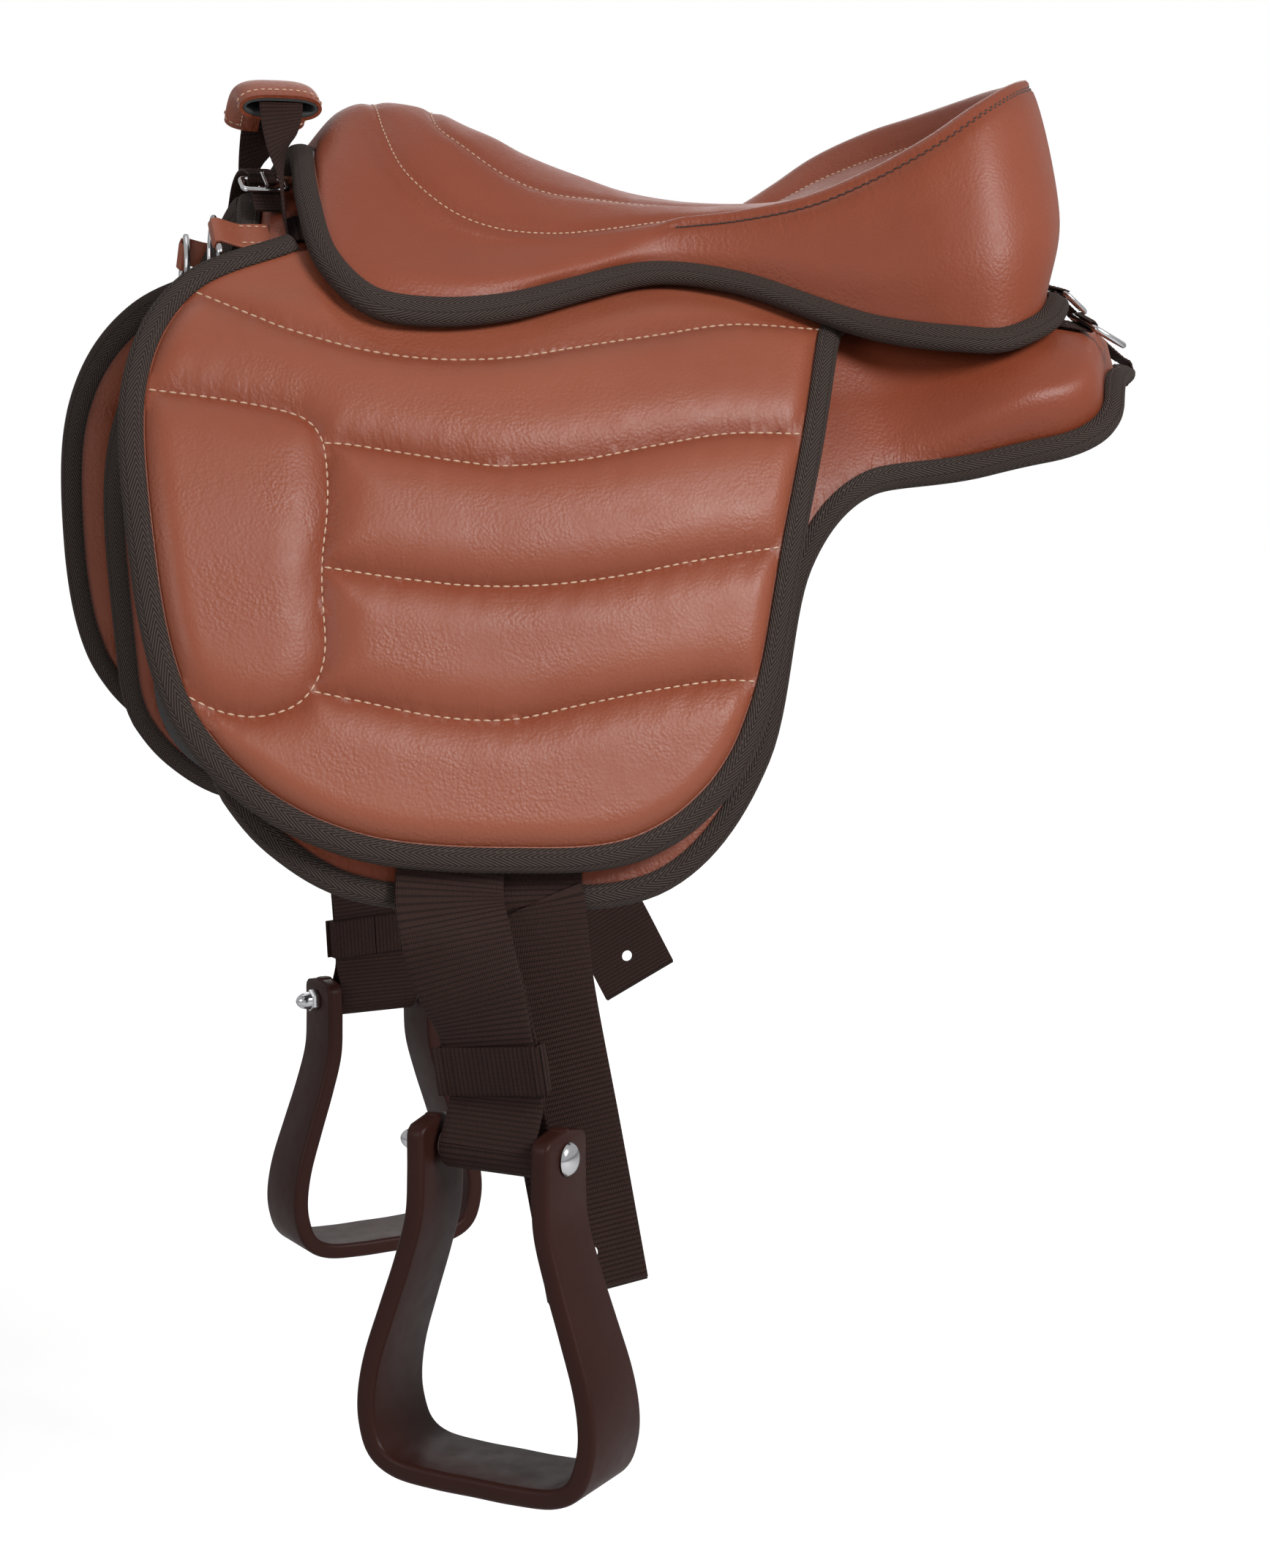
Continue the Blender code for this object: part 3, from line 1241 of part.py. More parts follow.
def stirrup(side, swing, hinge):
    """A stirrup with its bolt, cap nut and the sleeve that the leather runs round."""
    name = side_name(side)
    bolt, across, down, out = leather_frame(side, leather_length(side))
    half = (STIRRUP_BULGE - STIRRUP_WALL) / 2
    line = [(share * half, deep * (STIRRUP_HEIGHT - STIRRUP_WALL / 2), depth)
            for share, deep, depth in STIRRUP_SHARES]
    line = line + [(-aside, deep, depth) for aside, deep, depth in reversed(line[:-1])]

    def place(i, j, top):
        aside, deep, depth = line[j]
        before, after = line[max(j - 1, 0)], line[min(j + 1, len(line) - 1)]
        run = unit(np.array((after[0] - before[0], after[1] - before[1])))
        grow = STIRRUP_WALL * (0.5 if top else -0.5)
        aside, deep = aside + run[1] * grow, deep - run[0] * grow
        spot = bolt + across * aside + down * (deep - ARM_ABOVE_BOLT)
        return spot + out * depth * STIRRUP_DEPTH * (i - 0.5)
    frame = slab("stirrup_" + name, 1, len(line) - 1, place, "moulding", hinge)
    soften = frame.modifiers.new("soft edges", "BEVEL")
    soften.width = STIRRUP_EDGE
    soften.segments = 1
    soften.limit_method = "ANGLE"
    soften.angle_limit = math.radians(50)
    hole = drill("bolt_hole_" + name, bolt, across, BOLT_RADIUS + GAP, STIRRUP_BULGE)
    cut(frame, hole)
    arm = STIRRUP_NECK / 2 + GAP
    tip = -arm - NUT_DEPTH + GAP
    head = [(arm + BOLT_HEAD_HEIGHT * a, BOLT_HEAD_RADIUS * r) for a, r in BOLT_HEAD_SHARES]
    profile = [(tip, 0.0), (tip, BOLT_RADIUS), (arm, BOLT_RADIUS), (arm, BOLT_HEAD_RADIUS)] + head
    turned("bolt_" + name, profile, bolt, across, "chrome", hinge)
    bore = BOLT_RADIUS + GAP
    dome = [(NUT_HEIGHT * a, NUT_RADIUS * r) for a, r in NUT_SHARES]
    profile = [(NUT_DEPTH, 0.0), (NUT_DEPTH, bore), (0.0, bore), (0.0, NUT_RADIUS)] + dome
    turned("cap_nut_" + name, profile, bolt - across * arm, -across, "chrome", hinge, 12)
    inside = STIRRUP_NECK / 2 - STIRRUP_WALL - SLEEVE_END_GAP
    wall = [(-inside, SLEEVE_RADIUS), (inside, SLEEVE_RADIUS), (inside, bore), (-inside, bore)]
    turned("sleeve_" + name, wall, bolt, across, "chrome", swing)


def billet(side, hinge):
    """A girth billet: webbing from the base pad down past the flap, with a hole at its end."""
    keys = hanging_course(side, (BILLET_X, BILLET_REACH), BILLET_OVER_SHARES, BILLET_LEVEL,
                          BILLET_BELOW_SHARES, BILLET_OUT[side], BILLET_DROP[side])
    last = len(keys) - 1
    points = [spline(keys, last * k / BILLET_STEPS) for k in range(BILLET_STEPS + 1)]
    frames = []
    for k, point in enumerate(points):
        before, after = points[max(k - 1, 0)], points[min(k + 1, len(points) - 1)]
        run = unit(after - before)
        out = unit(np.cross(np.array((1.0, 0.0, 0.0)), run))
        frames.append((point, unit(np.cross(run, out)), out))
    name = "girth_billet_" + side_name(side)
    strap = ribbon(name, frames, WEBBING_WIDTH, WEBBING_THICKNESS, "webbing", hinge)
    end, out = points[-1], frames[-1][2]
    spot = end - unit(points[-1] - points[-2]) * BILLET_HOLE_INSET
    hole = drill("billet_hole_" + side_name(side), spot, out, BILLET_HOLE_RADIUS, WEBBING_WIDTH)
    cut(strap, hole)


# Start


for old in list(bpy.data.objects):
    bpy.data.objects.remove(old)
saddle = bpy.data.collections.new("treeless_saddle")
cutters = bpy.data.collections.new("cutters")
bpy.context.scene.collection.children.link(saddle)
bpy.context.scene.collection.children.link(cutters)

for hand in (-1, 1):
    base_pad(hand)
    under_panel(hand)
    bend = pivot("bend_" + side_name(hand), back_point(0.0, hand * BEND_REACH, BEND_AXIS_HEIGHT))
    flap(hand, bend)
spine_strip()
seat()
hand_strap()
front_strap()
rear_strap()
for hand in (-1, 1):
    word = side_name(hand)
    ring_and_tab("front", hand, FRONT_RING_X, FRONT_RING_REACH, -1, FRONT_RING_HANG, "leather",
                 FRONT_TAB_LEVEL, FRONT_RING_LEVEL)
    ring_and_tab("rear", hand, REAR_RING_X, REAR_RING_REACH, 1, REAR_RING_HANG, "webbing",
                 REAR_TAB_LEVEL, REAR_RING_LEVEL)
    swing = pivot("leather_pivot_" + word, leather_point(hand, -RING_HEIGHT, 0.0, 0.0))
    hinge = pivot("stirrup_pivot_" + word, leather_frame(hand, leather_length(hand))[0])
    hinge.parent = swing
    hinge.matrix_parent_inverse = swing.matrix_world.inverted()
    bpy.context.view_layer.update()
    slide = pivot("keeper_pivot_" + word,
                  leather_frame(hand, leather_length(hand) - KEEPER_ABOVE_BOLT)[0])
    slide.parent = swing
    slide.matrix_parent_inverse = swing.matrix_world.inverted()
    bpy.context.view_layer.update()
    hanger_and_ring(hand, swing)
    stirrup_leather(hand, swing)
    keeper(hand, slide)
    stirrup(hand, swing, hinge)
    billet(hand, pivot("billet_pivot_" + word,
                       back_point(BILLET_X, hand * BILLET_REACH, BILLET_LEVEL)))
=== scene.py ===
"""Looks of the treeless saddle: quilted leather, bound edges, ribbed webbing and moulded stirrups.

Metres, +Z up. +X runs from the pommel to the cantle and the horse's left side is -Y.
"""

import math

import bpy
import numpy as np
from mathutils import Matrix, Vector


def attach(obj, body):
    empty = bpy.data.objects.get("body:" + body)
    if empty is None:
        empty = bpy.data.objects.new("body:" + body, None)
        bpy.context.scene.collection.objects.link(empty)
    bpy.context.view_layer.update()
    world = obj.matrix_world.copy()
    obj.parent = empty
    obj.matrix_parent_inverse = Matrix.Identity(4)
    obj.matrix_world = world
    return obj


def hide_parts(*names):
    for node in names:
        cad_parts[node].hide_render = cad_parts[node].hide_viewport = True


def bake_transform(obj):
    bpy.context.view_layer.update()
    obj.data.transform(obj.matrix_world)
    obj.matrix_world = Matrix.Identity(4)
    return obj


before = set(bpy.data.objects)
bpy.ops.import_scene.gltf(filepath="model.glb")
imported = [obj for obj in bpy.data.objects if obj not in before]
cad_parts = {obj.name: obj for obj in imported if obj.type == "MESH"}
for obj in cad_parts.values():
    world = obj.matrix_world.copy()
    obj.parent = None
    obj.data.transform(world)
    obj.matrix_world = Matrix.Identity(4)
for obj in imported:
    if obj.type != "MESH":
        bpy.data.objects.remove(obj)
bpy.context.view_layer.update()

# The horse's back
CROWN_RADIUS = 0.080
CROWN_SLOPE = math.radians(15)
BARREL_RADIUS = 0.211
LOIN_RADIUS = 0.320
SIDE_SLOPE = math.radians(76)
LOIN_START = 0.080
LOIN_END = 0.200
WITHERS_LIFT = 0.032
WITHERS_START = -0.060
WITHERS_END = -0.190
WITHERS_REACH = 0.180
LOIN_DROP = 0.050
LOIN_DROP_START = 0.100
LOIN_DROP_END = 0.250
LOIN_REACH = 0.190

# Base pads
PAD_FRONT = 0.212
PAD_LENGTH = 0.499
PAD_REACH = 0.400
SPINE_HALF_GAP = 0.006
PAD_RIM = 0.0070
PAD_EDGE = 0.0054
PAD_FRONT_HEIGHT = 0.0135
PAD_REAR_HEIGHT = 0.0270
PAD_SHOULDER_START = 0.115
PAD_SHOULDER_END = 0.152
PAD_REAR_START = 0.084
PAD_REAR_END = 0.160
PANEL_CLEARANCE = 0.0010
PANEL_THICKNESS = 0.0060
PANEL_INSET = 0.15
STRIP_HALF_WIDTH = 0.020
STRIP_THICKNESS = 0.0020
STRIP_INSET = 0.014
STRIP_CLEARANCE = 0.0010
STRIP_SEAM_INSET = 0.003
RIM_WIDTH = 0.0095

# Flaps
FLAP_FRONT = 0.290
FLAP_LENGTH = 0.380
FLAP_REACH = 0.385
FLAP_UNDER = 0.0168
FLAP_RIM = 0.0050
FLAP_PUFF = 0.0075
FLAP_TOP_PUFF = 0.0030
CHANNEL_HALF = 0.026
CHANNEL_POWER = 2.8
PUCKER_HEIGHT = 0.00016
PUCKER_REACH = 0.010
PUCKER_INSET = 0.004
PUCKER_EDGE = 0.006
PUCKER_RUN = (0.9, 0.5)
PUCKER_PITCHES = (0.0125, 0.0187)
TOP_PUFF_START = 0.004
TOP_PUFF_END = 0.024
FLAP_LINE_STEP = 0.002
EDGE_HALF = 0.013
PAD_EDGE_HALF = 0.018
SEAM_SHADE_REACH = 0.0085
BEND_REACH = 0.150
BEND_BAND = 0.014

# Edge tape
FLAP_TAPE_NODES = ("flap_binding_", "flap_top_binding_front_", "flap_top_binding_rear_")
TAPE_LIFT = 0.0003
TAPE_THICKNESS = 0.0011
TAPE_LIP = 0.0088
TAPE_NOSE = 0.0026
TAPE_PUFF = 0.0008
TAPE_STITCH_INSET = 0.0022

# Seat
SEAT_FRONT = 0.184
SEAT_LENGTH = 0.407
SEAT_REACH = 0.153
SEAT_HALF_WIDTH = 0.128
CANTLE_HEIGHT = 0.1055
SEAT_LEVEL = 0.0262
SEAT_LEVEL_REAR = 0.0340
SEAT_LEVEL_START = 0.060
SEAT_LEVEL_END = 0.130
SEAT_FELT = 0.0020
SEAT_FELT_INSET = 0.006
SEAT_LEATHER = 0.0016
SEAT_FLANGE = 0.0046
CANTLE_SEAM_DEPTH = 0.0011
CANTLE_SEAM_WIDTH = 0.0024
SEAT_PUFFS = (0.0024, 0.0007, 0.0003)
SEAT_POMMEL_CROWN = 0.010
POMMEL_CROWN_START = -0.140
POMMEL_CROWN_END = -0.060
SEAT_CROWN_POWER = 1.6
SEAT_BULGE_SHARE = 0.40
SEAT_BULGE_OUT_SHARE = 0.085
SEAM_DEPTH = 0.0013
SEAM_WIDTH = 0.0042
CANTLE_STATION = 8
CANTLE_BLEND = 0.3
CANTLE_THREAD_INSET = 0.1
STATION_STEP = 0.02

# Webbing, rings and straps
WEBBING_WIDTH = 0.050
WEBBING_THICKNESS = 0.0018
RIB_PITCH = 0.0025
KEEPER_RIB_PITCH = 0.0019
RIB_RISE = 0.00030
STRAP_SHARES = (-0.5, -0.488, -0.42, -0.15, 0.15, 0.42, 0.488, 0.5)
STRAP_EDGE_SHARES = (0.45, 0.82, 1.0, 1.0, 1.0, 1.0, 0.82, 0.45)
GAP = 0.0003
PROBE = 0.001
WIRE_RADIUS = 0.0016
STRAP_WIDTH = 0.014
STRAP_THICKNESS = 0.0016
LEATHER_THICKNESS = 0.0020
PLY_GAP = 0.0005
LEATHER_LEVEL = 0.0122
HANGER_TOP_REACH = 0.190
HANGER_WIDTH = 0.012
HANGER_SLACK = 0.0016
HANGER_CLEARANCE = 0.0007
RING_X = -0.118
RING_REACH = 0.246
RING_WIDTH = 0.058
RING_HEIGHT = 0.0150
RING_CORNER = 0.003
STIRRUP_RING_CORNER = 0.0036
RING_WIRE = 0.00175
RING_FLARE = 0.010
SLEEVE_FLARE = 0.020
SLEEVE_RADIUS = 0.0080
SLEEVE_END_GAP = 0.0012
SLEEVE_BEVEL = 0.0005
BUTT_ABOVE_BOLT = 0.090
BUTT_SEAM_INSETS = (0.006, 0.016)
BUTT_SEAM_HALF = 0.021
KEEPER_LENGTH = 0.023
KEEPER_THICKNESS = 0.0015
KEEPER_CLEARANCE = 0.0009
KEEPER_ABOVE_BOLT = 0.038
BILLET_X = -0.105
BILLET_REACH = 0.268
BILLET_LEVEL = 0.0084
BILLET_HOLE_RADIUS = 0.0035
BILLET_HOLE_INSET = 0.018
PUNCH_REACH = 0.02
MELTED_HALF = 0.0245
MELTED_RIM_STEP = 0.0004
MELTED_RIM_WIRE = 0.0005
MELTED_END_WIRE = 0.0011
D_RING_WIDTH = 0.030
D_RING_HEIGHT = 0.024
TAB_WIDTH = 0.020
TAB_LENGTH = 0.026
TAB_THICKNESS = 0.0015
TAB_FOLD_SHARE = 0.42
TAB_SEAM_SHARE = 0.36
D_RING_BEND = 0.001
BUCKLE_WIDTH = 0.022
BUCKLE_LENGTH = 0.016
BUCKLE_WIRE = 0.0014
TONGUE_WIRE = 0.0010
STRAP_RETURN = 0.004
FRONT_STRAP_X = -0.2050
FRONT_BAR_REACH = -0.0290
FRONT_BAR_LEVEL = 0.0192
FRONT_STRAP_REACH = 0.047
REAR_BAR = (0.247, 0.0, -0.004)
REAR_BUCKLE_SLOPE = math.radians(40)
REAR_STRAP_STEP = 0.25
REAR_STRAP_STANDOFF = 0.0007
REAR_STRAP_DROP = 0.050

# Stirrups
STIRRUP_HEIGHT = 0.172
STIRRUP_BULGE = 0.128
STIRRUP_WALL = 0.0095
STIRRUP_DEPTH = 0.048
STIRRUP_NECK = 0.076
STIRRUP_ROUND = 0.0026
ARM_ABOVE_BOLT = 0.013
ARM_ROUND = 0.0065
ARM_POWER = 2.6
ARM_CAP = 0.0011
ARM_CAP_SHARES = ((0.62, 1.0), (0.9, 0.6))
ARM_LEAST_DEPTH = 0.00338
STIRRUP_STEP = 0.0022
BOLT_RADIUS = 0.0040
BOLT_HEAD_RADIUS = 0.0080
BOLT_HEAD_HEIGHT = 0.0042
BOLT_HEAD_SEAT_RADIUS = 0.00776
BOLT_HEAD_BEVEL = 0.0006
BOLT_DOME_START = 0.25
BOLT_PAST_ARM = 0.0067
NUT_RADIUS = 0.0068
NUT_HEIGHT = 0.0135
NUT_HEX_HEIGHT = 0.0050
NUT_HEX_SHARES = ((0.0, 0.96), (0.0004, 1.0), (0.0045, 1.0), (0.0050, 0.95))
NUT_DOME_SHARE = 0.80
NUT_DOME_END = math.pi / 2 - 0.06

# Hand strap
GRIP_X = -0.194
GRIP_TOP = 0.089
GRIP_RADIUS = 0.045
GRIP_HALF_SPAN = 0.030
GRIP_WIDTH = 0.042
GRIP_THICKNESS = 0.015
GRIP_LEATHER = 0.0018
GRIP_LINING = 0.0012
GRIP_SQUARENESS = 0.6
GRIP_SLACK = 0.0015
GRIP_SLIT = math.radians(4)
GRIP_SHADE_REACH = 0.003
GRIP_THREAD_LIFT = 0.0001
HAND_STRAP_WIDTH = 0.022
HAND_FOOT_LEVEL = 0.0150
HAND_FOOT_REACH = 0.0665

# Thread, each stitch as (pitch, length, radius)
STITCH = (0.0046, 0.0037, 0.00055)
FINE = (0.0034, 0.0026, 0.00042)
STITCH_PROUD = 0.4
TAPE_STITCH_LIFT = 0.0003
ZIGZAG_PITCH = 0.0022
ZIGZAG_HALF = 0.0009
ZIGZAG_RADIUS = 0.000504

# Colours
LEATHER_DEEP = (0.270, 0.062, 0.026, 1)
LEATHER_LIGHT = (0.305, 0.078, 0.036, 1)
LEATHER_FADED = (0.330, 0.098, 0.054, 1)
# Painted shade, laid on the leather near its seams and bound edges
LEATHER_SEAM_SHADE = (0.215, 0.038, 0.010, 1)
# A darker tint of the leather for the seat and base pads, as painted shade
SHADED_LEATHER_TINT = (0.88, 0.72, 0.60, 1)
PEBBLE_SCALE = 620.0
TAPE_DARK = (0.014, 0.009, 0.008, 1)
TAPE_LIGHT = (0.088, 0.062, 0.052, 1)
TAPE_WORN = (0.060, 0.045, 0.038, 1)
WEBBING_DARK = (0.020, 0.008, 0.0065, 1)
WEBBING_LIGHT = (0.050, 0.022, 0.017, 1)
WEBBING_WORN = (0.056, 0.028, 0.021, 1)
# Painted shade in the grooves between the webbing's ribs
WEBBING_GROOVE_SHADE = (0.010, 0.004, 0.003, 1)
FELT_DARK = (0.016, 0.014, 0.014, 1)
FELT_LIGHT = (0.045, 0.040, 0.038, 1)
LINING_DARK = (0.008, 0.011, 0.010, 1)
LINING_LIGHT = (0.022, 0.028, 0.025, 1)
MOULDING_DARK = (0.029, 0.0085, 0.0065, 1)
MOULDING_LIGHT = (0.041, 0.013, 0.0095, 1)
MELTED_DARK = (0.012, 0.007, 0.006, 1)
MELTED_LIGHT = (0.028, 0.013, 0.011, 1)
CREAM_DARK = (0.50, 0.31, 0.20, 1)
CREAM_LIGHT = (0.80, 0.58, 0.42, 1)
BROWN_DARK = (0.016, 0.010, 0.008, 1)
BROWN_LIGHT = (0.05, 0.03, 0.024, 1)
STEEL_DARK = (0.62, 0.62, 0.64, 1)
STEEL_LIGHT = (0.80, 0.80, 0.82, 1)
FLOOR_DARK = (0.84, 0.84, 0.84, 1)
FLOOR_LIGHT = (0.87, 0.87, 0.87, 1)

# Weave of the edge tape and of the webbing
TWILL_SHIFT = 0.0002
TWILL_HALF = 0.0046
TWILL_SLOPE = 0.42
TWILL_PITCH = 0.00125
PLY_PITCH = 0.00085

# Studio
CAMERA_LENS = 63.48
CAMERA_SENSOR = 36.0
CAMERA_PLACE = (-0.4148, -1.4467, -0.103)
CAMERA_TURN = 16.0
CAMERA_TILT = 6.44
FLOOR_LEVEL = -0.80
FLOOR_SIZE = 40.0
FLOOR_GLOW_NEAR = 0.56
FLOOR_GLOW_FAR = 0.86
FLOOR_GLOW_START = 0.8
FLOOR_GLOW_END = 2.6
SURROUND_LIGHT = 0.22
GLOSSY_SHARE = 0.45
LAMP_AIM = (0.0, 0.0, -0.15)
LAMPS = (
    ("key_lamp", (1.05, -2.05, 1.15), 1.1, 50.0),
    ("left_lamp", (-1.9, -1.2, 0.4), 1.0, 9.0),
    ("top_lamp", (-0.4, 0.5, 2.0), 1.2, 3.0),
    ("back_lamp", (0.4, 2.1, 1.0), 1.4, 8.0),
)

# Fineness of the meshes
PANEL_CELL = 0.0028
SEAM_STEP = 0.006
SEAM_FINE = 12
SNAP_REACH = 0.0020
CORNER_STEPS = 5
CORNER_ROUND = 0.030
TAPE_LIP_STEPS = 6
TAPE_NOSE_STEPS = 7
FLAP_COLUMNS = 108
FLAP_ROWS = 108
PAD_COLUMNS = 104
PAD_ROWS = 80
PANEL_COLUMNS = 80
PANEL_ROWS = 60
SEAT_FINE = 10
SEAT_STEPS = 11

# Nets of the flap and of the pad, and the seat's stations, as shares of their sizes
FLAP_NET_SHARES = (
    ((0.247, 0.234), (0.316, 0.218), (0.500, 0.213), (0.711, 0.192), (0.953, 0.270)),
    ((0.105, 0.299), (0.221, 0.343), (0.447, 0.374), (0.658, 0.330), (0.921, 0.314)),
    ((0.034, 0.423), (0.237, 0.478), (0.447, 0.509), (0.663, 0.486), (0.861, 0.470)),
    ((0.032, 0.623), (0.229, 0.626), (0.453, 0.652), (0.658, 0.631), (0.811, 0.610)),
    ((0.063, 0.782), (0.216, 0.787), (0.447, 0.816), (0.645, 0.784), (0.766, 0.774)),
    ((0.139, 0.896), (0.276, 0.951), (0.442, 0.969), (0.584, 0.964), (0.705, 0.906)),
)
PAD_NET_SHARES = (
    ((0.022, 0.015), (0.094, 0.015), (0.194, 0.015), (0.305, 0.015), (0.405, 0.015),
     (0.485, 0.015), (0.595, 0.015), (0.745, 0.015), (0.978, 0.015)),
    ((-0.004, 0.175), (0.080, 0.195), (0.190, 0.212), (0.315, 0.212), (0.415, 0.200),
     (0.489, 0.180), (0.589, 0.165), (0.725, 0.165), (0.922, 0.180)),
    ((-0.088, 0.438), (0.044, 0.500), (0.184, 0.538), (0.325, 0.525), (0.425, 0.450),
     (0.489, 0.362), (0.581, 0.312), (0.715, 0.320), (0.862, 0.325)),
    ((-0.068, 0.855), (0.034, 0.950), (0.182, 0.972), (0.329, 0.958), (0.425, 0.825),
     (0.483, 0.590), (0.573, 0.478), (0.695, 0.478), (0.814, 0.475)),
)
SEAT_SHARES = (
    (0.000, 0.000, 0.059, 0.000, 0.777, 0.222, 0.712, 0.26, 0.74),
    (-0.012, 0.209, 0.059, 0.203, 0.720, 0.228, 0.708, 0.24, 0.70),
    (-0.020, 0.444, 0.066, 0.406, 0.531, 0.236, 0.701, 0.20, 0.62),
    (-0.012, 0.667, 0.088, 0.594, 0.303, 0.246, 0.692, 0.16, 0.55),
    (0.037, 0.817, 0.143, 0.703, 0.133, 0.265, 0.664, 0.12, 0.50),
    (0.118, 0.837, 0.206, 0.734, 0.076, 0.295, 0.607, 0.10, 0.46),
    (0.211, 0.784, 0.285, 0.719, 0.085, 0.334, 0.550, 0.10, 0.45),
    (0.312, 0.667, 0.359, 0.672, 0.133, 0.378, 0.493, 0.10, 0.45),
    (0.413, 0.575, 0.437, 0.656, 0.190, 0.432, 0.427, 0.12, 0.45),
    (0.504, 0.614, 0.521, 0.719, 0.227, 0.501, 0.384, 0.15, 0.48),
    (0.585, 0.732, 0.604, 0.828, 0.294, 0.575, 0.370, 0.18, 0.50),
    (0.666, 0.856, 0.678, 0.922, 0.417, 0.644, 0.374, 0.20, 0.52),
    (0.749, 0.961, 0.747, 1.000, 0.569, 0.698, 0.389, 0.20, 0.54),
    (0.818, 1.000, 0.811, 0.992, 0.730, 0.735, 0.408, 0.20, 0.55),
    (0.885, 0.908, 0.875, 0.844, 0.853, 0.764, 0.436, 0.20, 0.55),
    (0.931, 0.719, 0.924, 0.625, 0.919, 0.786, 0.464, 0.20, 0.55),
    (0.968, 0.471, 0.958, 0.391, 0.967, 0.799, 0.483, 0.20, 0.55),
    (0.993, 0.235, 0.978, 0.188, 0.995, 0.806, 0.493, 0.20, 0.55),
    (1.000, 0.000, 0.985, 0.000, 1.000, 0.808, 0.498, 0.20, 0.55),
)

# Flap seams, each as (x, reach) shares of the flap's length and reach
FLAP_SEAM_SHARES = {
    "top": ((0.095, 0.290), (0.176, 0.325), (0.221, 0.343), (0.308, 0.366), (0.400, 0.374),
            (0.495, 0.366), (0.595, 0.343), (0.700, 0.322), (0.805, 0.301), (0.905, 0.306),
            (0.955, 0.312)),
    "pocket": ((0.035, 0.418), (0.121, 0.429), (0.195, 0.443), (0.228, 0.458), (0.241, 0.484),
               (0.242, 0.532), (0.237, 0.574), (0.229, 0.616), (0.226, 0.657), (0.226, 0.727),
               (0.211, 0.769), (0.182, 0.795), (0.137, 0.805), (0.095, 0.797), (0.060, 0.779)),
    "upper": ((0.241, 0.484), (0.274, 0.486), (0.337, 0.496), (0.426, 0.509), (0.471, 0.512),
              (0.566, 0.504), (0.663, 0.486), (0.763, 0.470), (0.861, 0.470)),
    "middle": ((0.229, 0.628), (0.324, 0.642), (0.413, 0.652), (0.503, 0.652), (0.597, 0.642),
               (0.692, 0.626), (0.811, 0.610)),
    "low": ((0.208, 0.776), (0.268, 0.790), (0.358, 0.810), (0.447, 0.816), (0.539, 0.800),
            (0.634, 0.784), (0.718, 0.774), (0.766, 0.776)),
}

STIRRUP_SHARES = (
    (0.561, 0.000, 0.74), (0.561, 0.045, 0.78), (0.561, 0.150, 0.79), (0.580, 0.270, 0.80),
    (0.680, 0.400, 0.82), (0.815, 0.540, 0.86), (0.945, 0.680, 0.91), (1.000, 0.790, 0.95),
    (0.985, 0.875, 0.98), (0.900, 0.950, 1.00), (0.700, 0.990, 1.00), (0.350, 1.000, 1.00),
    (0.000, 1.000, 1.00),
)

HAND_LEG_SHARES = ((-0.048, 0.978, 0.708), (-0.107, 1.267, 0.517))
HAND_FOOT_SHARES = ((-0.107, 0.985), (0.036, 1.0), (0.429, 1.0), (1.048, 1.0))
HAND_TWIST_SHARES = (0.40, 0.85)
LEATHER_OUT = 0.0104
LEATHER_DROP = {-1: 0.1213, 1: 0.1333}
LEATHER_OVER_SHARES = {
    -1: ((0.0, 0.0), (-0.20, 0.351), (-0.50, 0.688), (-0.66, 0.935)),
    1: ((0.0, 0.0), (0.02, 0.351), (0.06, 0.688), (0.12, 0.935)),
}
LEATHER_BELOW_SHARES = {
    -1: ((0.02, 0.83, 0.159), (0.10, 0.95, 0.308), (0.28, 1.0, 0.530), (0.38, 1.0, 0.769),
         (0.38, 1.0, 1.0)),
    1: ((0.04, 0.83, 0.145), (0.08, 0.95, 0.280), (0.12, 1.0, 0.505), (0.16, 1.0, 0.767),
        (0.16, 1.0, 1.0)),
}
LEATHER_TURNS = {-1: (0, 0, 0, 0.5, 5, 20, 43, 44, 44), 1: (0, 0, 0, 0.5, 3, 8, 14, 14, 14)}
BILLET_OUT = {-1: 0.0051, 1: 0.0070}
BILLET_DROP = {-1: 0.1934, 1: 0.1382}
BILLET_OVER_SHARES = {
    -1: ((0.0, 0.0), (-0.08, 0.394), (-0.14, 0.924)),
    1: ((0.0, 0.0), (0.74, 0.394), (1.74, 0.864)),
}
BILLET_BELOW_SHARES = {
    -1: ((0.02, 0.61, 0.059), (0.10, 0.96, 0.266), (0.36, 1.0, 0.628), (0.62, 1.0, 1.0)),
    1: ((0.24, 0.71, 0.139), (0.60, 0.97, 0.320), (1.16, 1.0, 0.645), (1.68, 1.0, 1.0)),
}
FRONT_UPPER_SHARES = ((1.0, 0.781), (0.766, 0.813), (0.489, 0.948), (0.213, 0.958), (-0.085, 0.969),
                      (-0.340, 1.021))
FRONT_LOWER_SHARES = ((-1.053, 0.781), (-1.128, 0.771))
REAR_LOWER_SHARES = ((0.50, -0.50), (0.74, -0.69), (0.85, -0.76), (0.87, -0.92), (0.80, -1.01))
RING_TAB_KINDS = {"front": ("leather", "thread", None),
                  "rear": ("webbing", "dark_thread", RIB_PITCH)}
RINGS = {
    "front": (-0.2325, 0.066, 0.0108, 0.0100, -1, math.radians(88)),
    "rear": (0.207, 0.112, 0.0314, 0.0288, 1, math.radians(18)),
}


# Shape helpers


def ramp(value, start, end):
    """0 before start, 1 after end and smooth between them."""
    share = np.clip((np.asarray(value, float) - start) / (end - start), 0.0, 1.0)
    return share * share * (3 - 2 * share)


